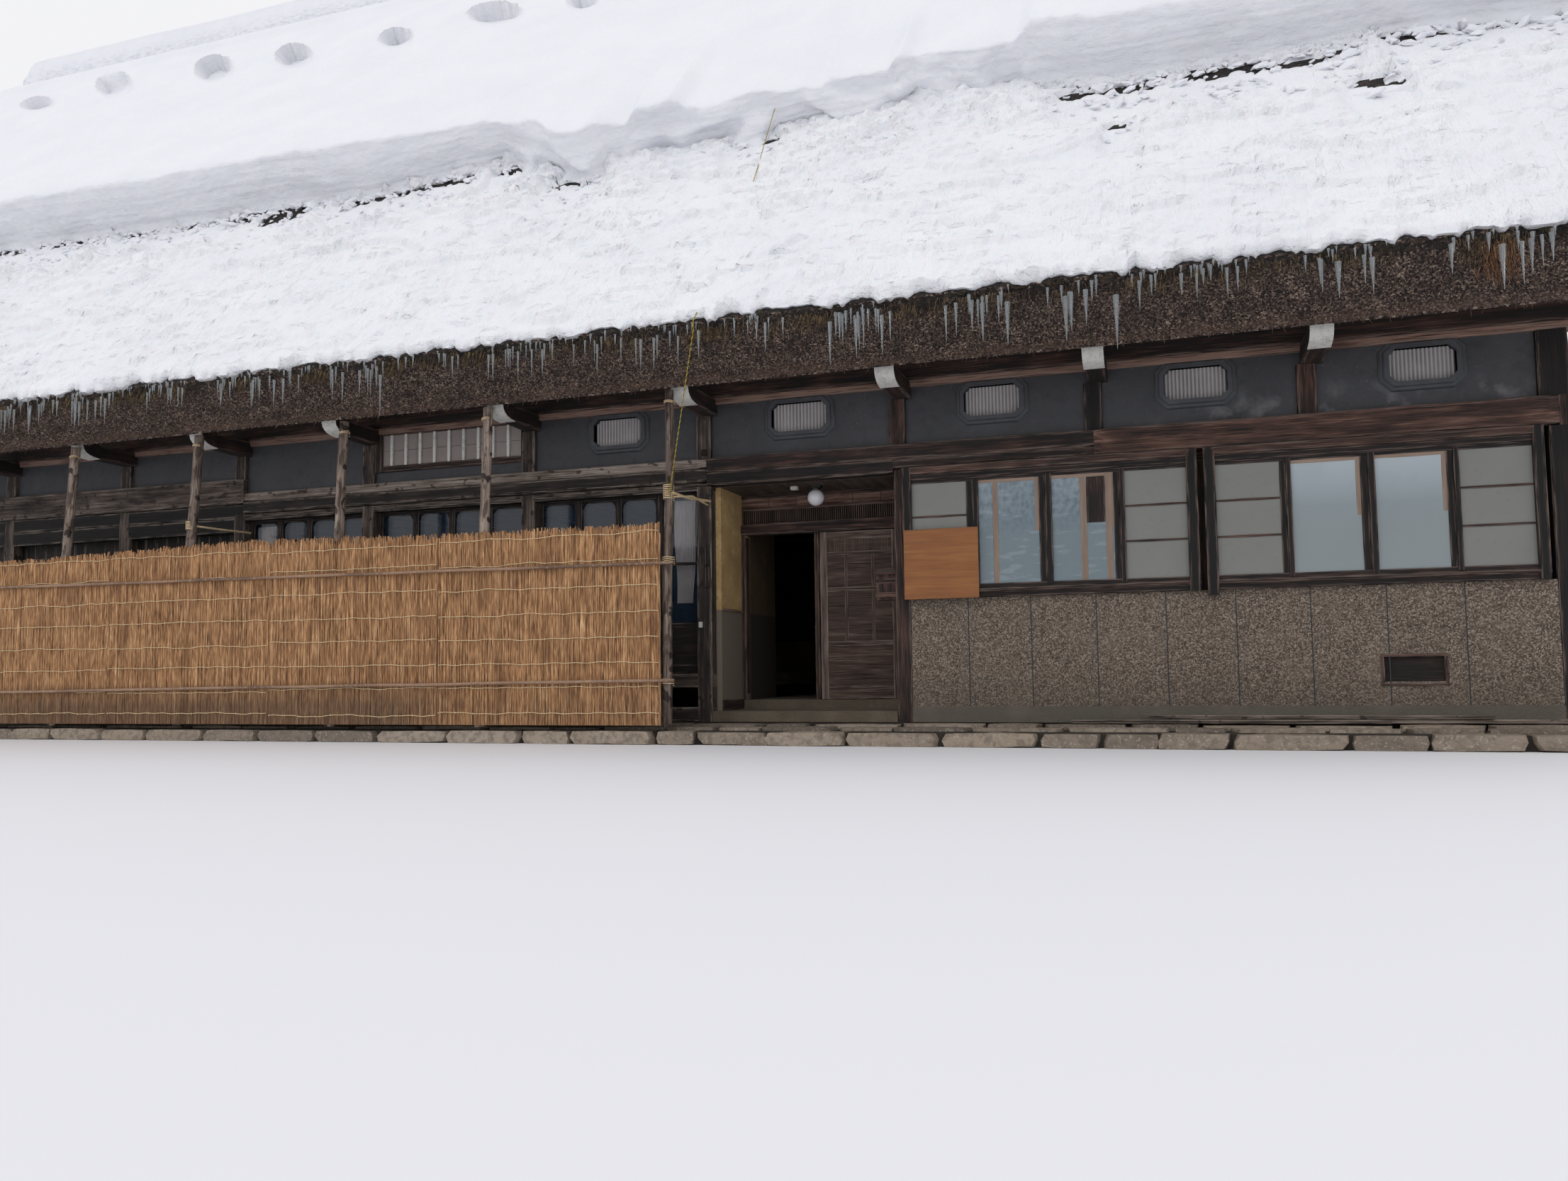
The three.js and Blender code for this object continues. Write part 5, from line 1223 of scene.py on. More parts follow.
random.seed(101)
places, sizes = [], []
for layer, y in enumerate((SCREEN_FACE + 0.006, SCREEN_FACE + 0.017)):
    x = SCREEN_X[0] + 0.01
    while x < SCREEN_X[1] - 0.008:
        seam = min(abs(x - seam) for seam in SEAMS)
        top = screen_top(x) + 0.03 - abs(random.gauss(0, 0.05)) - 0.03 * (noise_at(x * 7, layer, 0) + 0.3)
        top -= 0.05 if seam < 0.02 else 0.0
        sunk_in = 0.012 if seam < 0.009 else 0.0
        places.append((x, y + sunk_in + random.uniform(-0.004, 0.004), PLINTH_TOP + 0.004))
        girth = random.uniform(0.7, 1.35)
        sizes.append((girth, girth, top - PLINTH_TOP - 0.004))
        x += random.uniform(0.0065, 0.0115)

# Dry reed: straw gold to brown along each stalk, darker at the nodes, dull
dry_reed = start_finish("dry_reed", "#a07a55", 0.8)
short = patches(dry_reed, 12, 0.22, 0.78, (1, 1, 9), detail=2)
each = patches(dry_reed, 8, 0.25, 0.75, (1, 1, 60), shift=11, detail=1)
both = add(dry_reed, "ShaderNodeMath", {0: short, 1: each}, operation="ADD")
reed_mix = add(dry_reed, "ShaderNodeMath", {0: both, 1: 0.5}, operation="MULTIPLY")
lay(dry_reed, 1.0, add(dry_reed, "ShaderNodeValToRGB", {"Fac": reed_mix}, stops=(
    (0.18, "#3a2518"), (0.38, "#8a6442"), (0.55, "#b68a60"), (0.72, "#d4aa7c"),
    (0.92, "#f6ddb4"))).outputs[0])
mottle(dry_reed, "#7a5538", 260, 0.5, 0.68, (1, 1, 2), shift=8, most=0.45)
left = zone(dry_reed, 0, 1.6, 0.9)
leftward = add(dry_reed, "ShaderNodeMath", {0: left, 1: 0.7, 2: 0.3}, operation="MULTIPLY_ADD")
lay(dry_reed, zone(dry_reed, 2, 0.68, 0.40, 0.62), "#4f4036", leftward)

reeds, given = grow_tree("reeds", "radius", "bend")
stalk = add(reeds, "GeometryNodeMeshCylinder", {
    "Vertices": 4, "Side Segments": 4, "Radius": given["radius"], "Depth": 1.0}, fill_type="NGON")
stood = add(reeds, "GeometryNodeTransform", {"Geometry": stalk.outputs["Mesh"], "Translation": (0, 0, 0.5)})
bend_in = add(reeds, "ShaderNodeMath", {0: given["bend"], 1: 0.35}, operation="MULTIPLY")
bend = add(reeds, "ShaderNodeCombineXYZ", {0: given["bend"], 1: bend_in})
plant(reeds, given, stood, dry_reed, bend, (30.0, 9.0, 4.0))
mat = grown("reed_mat", reeds, seeds_at(places, sizes), radius=0.0056, bend=0.035)
settle(mat, "reed", "reed_screen")
backing = Build()
slab(backing, (SCREEN_X[0] + 0.02, SCREEN_FACE + 0.030, PLINTH_TOP),
     (SCREEN_X[1] - 0.02, SCREEN_BACK - 0.002, 2.08), 0.5)
settle(backing.piece("reed_mat_back", dry_reed), "reed")

random.seed(111)
twine = Build()
for row in range(8):
    base = 0.30 + row * 0.262
    for near, far in zip((SCREEN_X[0],) + SEAMS, SEAMS + (SCREEN_X[1],)):
        z = base + random.uniform(-0.02, 0.02)
        count = int((far - near) / 0.07)
        path = []
        for step in range(count + 1):
            x = near + 0.02 + (far - near - 0.04) * step / count
            path.append((x, SCREEN_FACE - 0.006 + 0.004 * math.sin(step * 2.1),
                         z + 0.022 * noise_at(x * 2.2, row, 0) + 0.004 * math.sin(step * 1.7)))
        tube(twine, path, 0.0042, 5, 0.5)
        for step in range(0, count, 3):
            x, y, zz = path[step]
            tube(twine, [(x - 0.003, y + 0.001, zz + 0.012), (x + 0.002, y - 0.003, zz),
                         (x - 0.001, y + 0.001, zz - 0.013)], 0.0026, 4)
# Straw twine: pale, hairy, two-ply
straw_twine = start_finish("straw_twine", "#dcc59d", 0.95)
mottle(straw_twine, "#9c8055", 14, 0.4, 0.7, most=0.6)
settle(twine.piece("mat_twine", straw_twine), "reed")

# Bamboo cane: dry, brown, with a satin skin and a ring at each node
bamboo = start_finish("dry_bamboo", "#94765f", 0.5)
mottle(bamboo, "#5a4335", 300, 0.45, 0.6, (4, 1, 1), most=0.8)
mottle(bamboo, "#b59a7c", 30, 0.55, 0.65, shift=3, most=0.5)
CANE_NODE = 0.31
random.seed(121)
for name, z_left, z_right in (("screen_rail_upper", 1.875, 1.805), ("screen_rail_lower", 0.57, 0.64)):
    cane, path, radii = Build(), [], []
    start, end = SCREEN_X[0] + 0.01, SCREEN_X[1] + 0.16
    for step in range(121):
        x = start + (end - start) * step / 120
        path.append((x, SCREEN_FACE - 0.026,
                     z_left + (z_right - z_left) * step / 120 + 0.008 * noise_at(x, z_left, 0)))
        near_node = min(abs(x - CANE_NODE * round(x / CANE_NODE)), 0.02) / 0.02
        radii.append(0.0165 + 0.002 * (1 - near_node))
    tube(cane, path, radii, 10, 0.5)
    settle(cane.piece(name + "_cane", bamboo), "bamboo", name)

lashings = Build()


def lashing(build, x, z, height, turns, reach):
    """Turns of cord round an upright pole, a little untidy."""
    path = []
    for step in range(turns * 10 + 1):
        angle = 2 * math.pi * step / 10
        path.append((x + reach * math.cos(angle), POST_Y + reach * math.sin(angle),
                     z + height * step / (turns * 10) + 0.006 * math.sin(angle + x)))
    tube(build, path, 0.0055, 5)


TOP_TIE = 3.43
for number in range(len(POST_XS)):
    lashing(lashings, pole_x(number, TOP_TIE), TOP_TIE, 0.03, 2, 0.056)
    for z in (0.62, 1.84):
        lashing(lashings, pole_x(number, z), z - 0.03, 0.06, 3, 0.062)
lashing(lashings, POST_XS[0], 2.45, 0.15, 8, 0.054)
lashing(lashings, POST_XS[3], 2.45, 0.10, 6, 0.060)
# Sticks that tie two of the poles back to the wall: for each the pole, its points and its radius
for number, points, radius in (
        (0, ((0.05, POST_Y - 0.02, 2.52), (0.10, POST_Y + 0.25, 2.50), (0.13, FRONT - 0.01, 2.54)), 0.014),
        (0, ((0.06, POST_Y, 2.48), (0.14, POST_Y + 0.28, 2.52), (0.10, FRONT - 0.008, 2.50)), 0.010),
        (3, ((0.05, POST_Y, 2.50), (0.12, POST_Y + 0.3, 2.49), (0.12, FRONT - 0.008, 2.50)), 0.013)):
    tube(lashings, [(POST_XS[number] + x, y, z) for x, y, z in points], radius, 7)
settle(lashings.piece("post_lashings", straw_twine), "reed")


# The gable ends and the back: clay plaster between posts and beams, with rows of windows. Each window
# is a sash of thin bars in a plain frame. The clay is grey-buff, matt and sandy, clouded by the rain.
random.seed(131)
clay = start_finish("clay_plaster", "#8d8371", 0.9)
mottle(clay, "#7a705f", 600, 0.4, 0.7, most=0.6)
mottle(clay, "#a0967f", 60, 0.52, 0.7, most=0.4)
roughen(clay, 22, 1.5)
paint(clay, "gable_wall_left", "gable_wall_right", "back_wall")
INNER_LIP, THATCH_PITCH = (-7.3642, 3.5341), 1.15


def under_thatch(y):
    """The height of the underside of the thatch."""
    return INNER_LIP[1] + THATCH_PITCH * (y - INNER_LIP[0] if y < 0 else -y - INNER_LIP[0])


def window(build, axis, fixed, side, centre, half, z0, z1, bars=3):
    """A frame and thin bars in a hole of a wall. axis is the one the wall runs along."""

    def piece(a0, a1, low, high, out, back, tone):
        near, far = sorted((fixed + side * out, fixed + side * back))
        if axis == "x":
            timber(build, (a0, near, low), (a1, far, high), 0.004, 0.001, tone, 0.4)
        else:
            timber(build, (near, a0, low), (far, a1, high), 0.004, 0.001, tone, 0.4)

    piece(centre - half - 0.05, centre + half + 0.05, z1 - 0.01, z1 + 0.05, 0.03, -0.08, 0.4)
    piece(centre - half - 0.05, centre + half + 0.05, z0 - 0.06, z0 + 0.01, 0.045, -0.08, 0.5)
    for x in (centre - half, centre, centre + half):
        piece(x - 0.028, x + 0.028, z0, z1, 0.012, -0.08, 0.4)
    for share in range(1, bars):
        z = z0 + (z1 - z0) * share / bars
        piece(centre - half, centre + half, z - 0.012, z + 0.012, 0.0, -0.03, 0.45)
    for share in (0.25, 0.75):
        x = centre - half + 2 * half * share
        piece(x - 0.012, x + 0.012, z0, z1, -0.002, -0.028, 0.45)


for side, name in ((-1, "left"), (1, "right")):
    gable, gable_windows = Build(), Build()
    x0, x1 = sorted((side * (HALF_LENGTH - 0.12), side * HALF_LENGTH))
    for y in (-4.2, -2.1, 0.0, 2.1, 4.2):
        timber(gable, (x0, y - 0.085, PLINTH_TOP), (x1, y + 0.085, under_thatch(abs(y) + 0.09) - 0.02),
               tone=random.uniform(0.3, 0.55), step=0.3)
    for z0, z1 in ((PLINTH_TOP, SILL_TOP), (BEAM_LOW, BEAM_TOP), (PLATE_LOW, PLATE_TOP), (6.45, 6.62),
                   (9.25, 9.40)):
        reach = min(6.2, (under_thatch(0) - z1) / THATCH_PITCH - 0.02)
        timber(gable, (x0 + 0.004, -reach, z0), (x1 - 0.004, reach, z1), tone=random.uniform(0.35, 0.55),
               step=0.3)
    settle(gable.piece(f"gable_frame_{name}_timbers", old_cedar), "old_cedar", f"gable_frame_{name}")
    face = side * (HALF_LENGTH - 0.04)
    for bay, centre in enumerate((-3.15, -1.05, 1.05, 3.15)):
        window(gable_windows, "y", face, side, centre, 0.7, SILL_LOW, GLASS_TOP)
        window(gable_windows, "y", face, side, centre, 0.6, 4.5, 5.7)
        if bay in (1, 2):
            window(gable_windows, "y", face, side, centre, 0.55, 7.2, 8.3)
    settle(gable_windows.piece(f"gable_windows_{name}", old_cedar), "old_cedar")

back_frame, back_windows = Build(), Build()
BACK = 6.4
for x in STRUTS[1:]:
    timber(back_frame, (x - POST_HALF, BACK - POST_DEPTH, PLINTH_TOP), (x + POST_HALF, BACK, STRUT_TOP),
           tone=random.uniform(0.35, 0.6))
for x in (-HALF_LENGTH, CORNER_IN):
    timber(back_frame, (x, BACK - CORNER_DEPTH, PLINTH_TOP), (x + 0.19, BACK, PLATE_LOW), tone=0.4)
timber(back_frame, (-CORNER_IN, BACK - POST_DEPTH, PLINTH_TOP), (CORNER_IN, BACK - 0.006, SILL_TOP),
       tone=0.45)
beam(back_frame, -CORNER_IN, CORNER_IN, BEAM_LOW, BEAM_TOP, 0.5, BACK - POST_DEPTH, BACK + 0.04)
settle(back_frame.piece("back_frame_timbers", old_cedar), "old_cedar", "back_frame")
for bay, (right, left) in enumerate(zip(STRUTS, STRUTS[1:])):
    centre = (left + right) / 2
    if bay % 3 != 2:
        window(back_windows, "x", BACK - 0.05, 1, centre, 0.7, SILL_LOW, GLASS_TOP)
    window(back_windows, "x", BACK - 0.05, 1, centre, 0.28, GLASS_Z[0], GLASS_Z[1], 1)
settle(back_windows.piece("back_windows", old_cedar), "old_cedar")


# The thatch: reeds laid in a layer 0.7 m thick, combed down the slope and cut square at the eave, so
# that the eave shows thousands of cut ends. Moss grows along its upper edge.
def verge(z, setback=0.0):
    """Half the length of the roof at a height: its gable ends lean outwards."""
    return 13.145 - setback + 0.11517 * (z - 3.334)


def ripple(x, y, z, size):
    return noise_at(x / size, y / size, z / size)


def smooth(value, low, high):
    share = min(max((value - low) / (high - low), 0.0), 1.0)
    return share * share * (3 - 2 * share)


def blanket(build, columns, rows, spot, tone=None):
    """A closed layer: spot(a, row) is a point of the column at share a. The first and the last row lie
    on what carries it, and a plain strip joins them underneath."""
    keys = [(column / columns, row) for column in range(columns + 1) for row in range(rows + 1)]
    wide = rows + 1
    faces = [(i * wide + j, (i + 1) * wide + j, (i + 1) * wide + j + 1, i * wide + j + 1)
             for i in range(columns) for j in range(rows)]
    faces += [(i * wide + rows, (i + 1) * wide + rows, (i + 1) * wide, i * wide) for i in range(columns)]
    faces += [tuple(range(wide)), tuple(range(columns * wide, (columns + 1) * wide))[::-1]]
    build.put([spot(*key) for key in keys], faces, None, [tone(*key) for key in keys] if tone else 0.5)


RIDGE_RUN, INNER_RUN = 12.0398, 11.2230
random.seed(141)


def thatch_slab(side, cells):
    build = Build()

    def place(a, b, c):
        up = 0.035 * (1 - b) + b * (INNER_RUN + (RIDGE_RUN - INNER_RUN) * c)
        out = -THATCH_DEPTH * (1 - c)
        x = (2 * a - 1) * verge(on_slope(0, up, out).z) * -side
        fray = 0.0 if 0 < a < 1 else 0.03 * abs(ripple(up, out * 3, a, 0.11)) + 0.004
        x -= math.copysign(fray, x)
        sag = 0.012 * ripple(x, up, 5, 0.6) if c < 1 else -0.004
        return on_slope(x, up, out - sag * (1 - c), side)

    crust(build, cells, place, lambda a, b, c: 0.35 + 0.3 * c)
    return build


def eave_face(side, columns, rows):
    """The cut end of the thatch: a finely broken face with its lower edge worn round."""
    build = Build()

    def spot(a, row):
        share = 1 - row / rows
        edge = min(share, 1 - share) * THATCH_DEPTH
        worn = 0.045 * max(0.0, 1 - edge / 0.07) ** 2
        out = -THATCH_DEPTH * (1 - share)
        x = (2 * a - 1) * (verge(4.0 + out * SLOPE_RUN) - 0.008) * -side
        rough = (0.020 * ripple(x, out, 3, 0.030) + 0.018 * ripple(x, out, 9, 0.075)
                 + 0.014 * ripple(x, out, 15, 0.4))
        up = 0.014 + worn - rough if 0 < row < rows else 0.055
        sunk = 0.014 * ripple(x, 7, 1, 0.10) if row == rows else 0.0
        if row == 0:
            out -= 0.01
        return on_slope(x, up, out + sunk, side)

    blanket(build, columns, rows, spot, lambda a, row: 1 - row / rows + 0.10 * ripple(a * 26.3, 0, 4, 0.35))
    return build


# Old reed thatch seen from its cut ends: hollow straws of 5 mm, drawn at 13 mm to show, brown with a violet
# cast, speckled light and dark, browner and paler near the lower edge, near black at the top, and painted
# near black as shade on its upper faces, where they show in the gaps of the snow
def thatch_finish(name, mottle_mm):
    finish = start_finish(name, "#4a3f3b", 0.95)
    place = add(finish, "ShaderNodeTexCoord").outputs["Object"]
    ends = add(finish, "ShaderNodeTexVoronoi", {"Vector": place, "Scale": 1000 / mottle_mm})
    pick = add(finish, "ShaderNodeSeparateColor", {0: ends.outputs["Color"]})
    speckle = add(finish, "ShaderNodeValToRGB", {"Fac": pick.outputs[0]}, stops=(
        (0.0, "#140f0e"), (0.35, "#342a27"), (0.62, "#55463f"), (0.86, "#7d6b5f"), (1.0, "#b09b89")))
    lay(finish, 1.0, speckle.outputs[0])
    mottle(finish, "#231c1a", 160, 0.42, 0.68, most=0.6)
    height = add(finish, "ShaderNodeAttribute", attribute_name="tone").outputs["Fac"]
    lower = add(finish, "ShaderNodeMapRange",
                {"Value": height, "From Min": 0.22, "From Max": 0.0, "To Max": 0.45})
    lay(finish, lower, "#725a4c")
    mossy = add(finish, "ShaderNodeMapRange", {"Value": height, "From Min": 0.74, "From Max": 0.93})
    lay(finish, mossy, "#14110e", patches(finish, 70, 0.3, 0.55, most=0.9))
    # Painted shade: upper faces near black, where the thatch shows in the gaps of the snow
    lay(finish, facing_up(finish, 0.45, 0.6, 0.85), "#120f0e")
    emboss(finish, ends.outputs["Distance"], 9)
    roughen(finish, 40, 16)
    return finish


cut_reeds = thatch_finish("cut_reed_thatch", 13)
combed_reeds = thatch_finish("combed_reed_thatch", 20)
for side, name, columns, rows in ((-1, "front", 1150, 26), (1, "back", 360, 10)):
    settle(thatch_slab(side, (24, 60, 5)).piece(f"thatch_{name}_slope", combed_reeds, crease=60), "thatch",
           f"thatch_{name}")
    settle(eave_face(side, columns, rows).piece(f"thatch_{name}_eave", cut_reeds, crease=80), "thatch")
paint(combed_reeds, "ridge_cover")

# Loose straws that stick out of the cut face, thickest along its lower edge: dull brown, some bleached
loose = start_finish("loose_straw", "#5c4a40", 0.95)
mottle(loose, "#927c69", 30, 0.4, 0.6)
# Dead grass that hangs from the upper edge: dark, wet and rotting, some of it straw-coloured
dead_grass = start_finish("dead_grass", "#4b3c2b", 0.95)
mottle(dead_grass, "#7b6747", 60, 0.45, 0.6)
mottle(dead_grass, "#2a241b", 100, 0.5, 0.6, shift=4)
# A patch of newer straw near the right-hand end: orange-brown, with a slight shine
new_straw = start_finish("newer_straw", "#71503a", 0.8)
mottle(new_straw, "#b68c66", 30, 0.45, 0.65)
straws, given = grow_tree("loose_straws", "radius")
straw = add(straws, "GeometryNodeMeshCone", {
    "Vertices": 3, "Side Segments": 1, "Radius Top": 0.0008, "Radius Bottom": given["radius"], "Depth": 1.0})
plant(straws, given, straw.outputs["Mesh"], loose)


def scatter_straws(name, count, x_range, shares, lengths, finish, lean=0.9, side=-1, clumped=0.0,
                   spread_out=False):
    """Straws rooted in the eave's face, between two shares of its height, pointing out and down. x_range is
    from and to, or the middle and the spread."""
    random.seed(151)
    straws.nodes["Set Material"].inputs["Material"].default_value = finish
    places, turns, sizes = [], [], []
    while len(places) < count:
        x = random.gauss(*x_range) if spread_out else random.uniform(*x_range)
        if clumped and ripple(x, 4, 6, clumped) < random.uniform(-0.2, 0.35):
            continue
        share = shares[0] + (shares[1] - shares[0]) * random.random() ** 1.6
        length = random.uniform(*lengths)
        direction = Vector((random.gauss(0, 0.35), -SLOPE_RUN + random.gauss(0, 0.25),
                            -SLOPE_RISE * lean + random.gauss(0, 0.25))).normalized()
        spot = on_slope(x, 0.02, -THATCH_DEPTH * (1 - share)) + direction * (length * 0.36)
        spot.y = max(spot.y, -7.9)
        if side > 0:
            spot.y, direction.y = -spot.y, -direction.y
        places.append(tuple(spot))
        turns.append(tuple(direction.to_track_quat("Z", "Y").to_euler()))
        sizes.append((1, 1, length))
    settle(grown(name, straws, seeds_at(places, sizes, turns), radius=0.003), "thatch")


EAVE_X = (-13.0, 13.0)
scatter_straws("eave_straws_front", 5400, EAVE_X, (0.09, 0.7), (0.04, 0.10), loose)
scatter_straws("eave_straws_back", 1200, EAVE_X, (0.0, 0.6), (0.04, 0.11), loose, side=1)
scatter_straws("hanging_grass", 4200, EAVE_X, (0.99, 0.80), (0.05, 0.15), dead_grass, 3.0, clumped=0.5)
scatter_straws("newer_straw_tuft", 260, (11.32, 0.075), (0.93, 0.52), (0.06, 0.16), new_straw, 2.6,
               spread_out=True)

# Wet moss in clumps along the upper edge: nearly black where it is soaked, olive and brown on top
random.seed(161)
moss_green = start_finish("wet_moss", "#171512", 0.9)
mottle(moss_green, "#34311f", 40, 0.5, 0.66)
mottle(moss_green, "#3b2e20", 90, 0.5, 0.66, shift=6)
mottle(moss_green, "#564d30", 14, 0.55, 0.7, shift=2, most=0.5)
roughen(moss_green, 12, 8)
moss, given = grow_tree("moss_clumps", "radius")
clump = add(moss, "GeometryNodeMeshIcoSphere", {"Radius": given["radius"], "Subdivisions": 2})
plant(moss, given, clump.outputs["Mesh"], moss_green, (0.06, 0.05, 0.08), (24.0, 24.0, 24.0), 3.0)
places, sizes = [], []
while len(places) < 380:
    x = random.uniform(*EAVE_X)
    if ripple(x, 3, 8, 0.8) + 0.25 * (x > 0) < random.uniform(-0.5, 0.3):
        continue
    places.append(tuple(on_slope(x, random.uniform(0.02, 0.07), random.uniform(-0.09, -0.01))))
    sizes.append((random.uniform(0.8, 2.2), random.uniform(0.6, 0.9), random.uniform(0.5, 1.4)))
settle(grown("eave_moss", moss, seeds_at(places, sizes), radius=0.030), "thatch")


# The snow on the roof. Below the step it has slid and lies thin, combed and broken, with a ragged lip
# over the eave. Above the step it stands in a wall 0.7 m high, smooth on top, with a row of dents.

# Along the roof: x, how far up the slope the step's foot is, and its depth
STEP_MARKS = (
    (-15.0, 4.50, 0.76), (-8.2, 4.48, 0.77), (-6.2, 4.38, 0.77), (-4.8, 4.25, 0.78), (-3.4, 4.31, 0.74),
    (-2.4, 4.34, 0.73), (-1.5, 4.21, 0.76), (-1.2, 4.14, 0.78), (-0.7, 4.25, 0.70), (-0.3, 4.34, 0.67),
    (0.12, 4.41, 0.65), (0.64, 4.49, 0.59), (0.86, 4.51, 0.56), (1.25, 4.21, 0.63), (1.63, 3.93, 0.69),
    (1.9, 3.73, 0.69), (2.1, 3.67, 0.65), (2.42, 3.66, 0.61), (2.79, 3.91, 0.46), (2.93, 4.00, 0.59),
    (3.18, 4.02, 0.62), (3.44, 3.97, 0.66), (3.6, 3.94, 0.52), (4.0, 3.91, 0.49), (4.44, 3.96, 0.55),
    (5.0, 4.10, 0.46), (5.2, 4.10, 0.42), (5.35, 4.08, 0.50), (5.97, 4.17, 0.44), (6.1, 4.13, 0.60),
    (6.25, 4.35, 0.50), (6.6, 4.27, 0.52), (7.0, 4.19, 0.54), (7.38, 4.19, 0.51), (7.58, 4.16, 0.73),
    (7.81, 4.09, 0.75), (8.3, 3.93, 0.72), (10.0, 3.90, 0.70), (11.0, 4.00, 0.69), (12.4, 3.80, 0.69),
    (15.0, 3.85, 0.69))
# Where the thatch shows along the foot: x, how far up, half its length, half its width
GAPS = (
    (-8.45, 4.52, 0.35, 0.13), (-7.96, 4.53, 0.50, 0.20), (-6.75, 4.42, 0.55, 0.14),
    (-6.3, 4.40, 0.35, 0.20), (-5.1, 4.32, 0.40, 0.10), (-4.2, 4.28, 0.45, 0.11),
    (-3.3, 4.24, 0.40, 0.14), (-2.6, 4.12, 0.42, 0.22), (-2.2, 4.26, 0.34, 0.14),
    (-1.2, 4.10, 0.42, 0.10), (-0.8, 4.12, 0.20, 0.08), (-0.1, 4.20, 0.55, 0.08),
    (0.95, 4.26, 0.20, 0.11), (2.15, 3.62, 0.32, 0.12), (4.4, 3.88, 0.26, 0.09),
    (8.11, 3.70, 0.22, 0.08), (8.57, 3.70, 0.32, 0.09), (9.40, 3.73, 0.30, 0.13),
    (9.75, 3.78, 0.16, 0.06), (10.2, 3.64, 0.30, 0.08), (10.68, 3.76, 0.13, 0.06),
    (11.33, 3.82, 0.28, 0.07), (11.6, 4.03, 0.50, 0.08), (12.2, 3.93, 0.42, 0.12),
    (10.85, 2.95, 0.18, 0.08), (11.12, 2.87, 0.08, 0.05), (8.57, 2.82, 0.12, 0.05))
# Trodden in from the lower right: x, how far up, half the width and half the height as seen from there
DENTS = (
    (-11.37, 9.69, 0.41, 0.20), (-9.60, 9.89, 0.41, 0.35), (-7.04, 9.56, 0.42, 0.34),
    (-5.15, 9.31, 0.38, 0.28), (-2.87, 8.96, 0.32, 0.22), (-1.08, 9.12, 0.48, 0.24),
    (0.66, 8.68, 0.25, 0.16))
SNOW_SETBACK, SNOW_END, SNOW_FRONT, SHELF_Y, SHELF_RISE = 0.10, 11.05, -7.990, 0.60, 0.22
ROOF_REACH = 13.48


def marked(x, side):
    """Where along the marks x is. The back uses the front's marks, turned and drawn out."""
    return x if side < 0 else 3 - 0.8 * x


def step_at(x, side):
    """The foot and the depth of the step at x, read between the marks."""
    x = marked(x, side)
    for (a, low, deep), (b, high, depth) in zip(STEP_MARKS, STEP_MARKS[1:]):
        if x <= b:
            share = (x - a) / (b - a)
            foot = low + (high - low) * share + 0.03 * ripple(x, 2, 0, 0.9) + 0.02 * ripple(x, 9, 0, 0.2)
            return foot, deep + (depth - deep) * share


def broken(x, side):
    """How broken the step is: smooth at both ends, in blocks over the entrance."""
    x = marked(x, side)
    return smooth(x, 0.4, 1.7) * (1 - smooth(x, 7.2, 7.7))


def bare(x, up, foot, side):
    """Where the thatch shows through the thin snow, in a torn line along the foot of the step, and how low
    the snow is swept in front of it."""
    seen, swept = 0.0, 0.0
    torn = 0.9 * ripple(x, up * 1.6, side, 0.15) + 0.7 * ripple(x, up * 1.8, side + 4, 0.075)
    for gap_x, gap_up, half, wide in GAPS:
        aside, above = abs(x - gap_x) / half, up - gap_up
        if aside < 2:
            seen = max(seen, smooth(1.15 - math.hypot(aside, above / wide) + 0.95 * torn, 0.0, 0.12))
            swept = max(swept, smooth(1.7 - math.hypot(aside, (above + 0.3) / (wide + 0.3)), 0.0, 0.7))
    crack = abs(up - foot + 0.08 + 0.10 * ripple(x, 8, side, 0.35)) / 0.07
    seen = max(seen, (1 - smooth(crack, 0.8, 1.2)) * smooth(torn + 0.12 - 0.8 * broken(x, side), 0.05, 0.15))
    return seen, max(swept, 0.6 * smooth(up, foot - 0.7, foot - 0.3) * (1 - broken(x, side)))


def dent(x, up):
    """How deep the snow is trodden in: a slanting oval bore, whose slant changes along the roof."""
    deepest = 0.0
    for dent_x, dent_up, wide, high in DENTS:
        aside, above = x - dent_x, up - dent_up
        if abs(aside) < 1.6 and abs(above) < 1.6:
            off = 1.08 - dent_x
            across = (aside + above * (0.377 + 0.0408 * off)) / wide
            rise = (0.22 * aside + above * (0.412 + 0.0134 * off)) / high
            lean, fall = (0.424 + 0.0412 * off) / wide, (1.176 + 0.0129 * off) / high
            inside = across * across + rise * rise - 1 + 0.16 * ripple(x, up, 3, 0.25)
            if inside < 0:
                slant, steep = across * lean - rise * fall, lean * lean + fall * fall
                deepest = max(deepest, (math.sqrt(slant * slant - steep * inside) - slant) / steep)
    return deepest


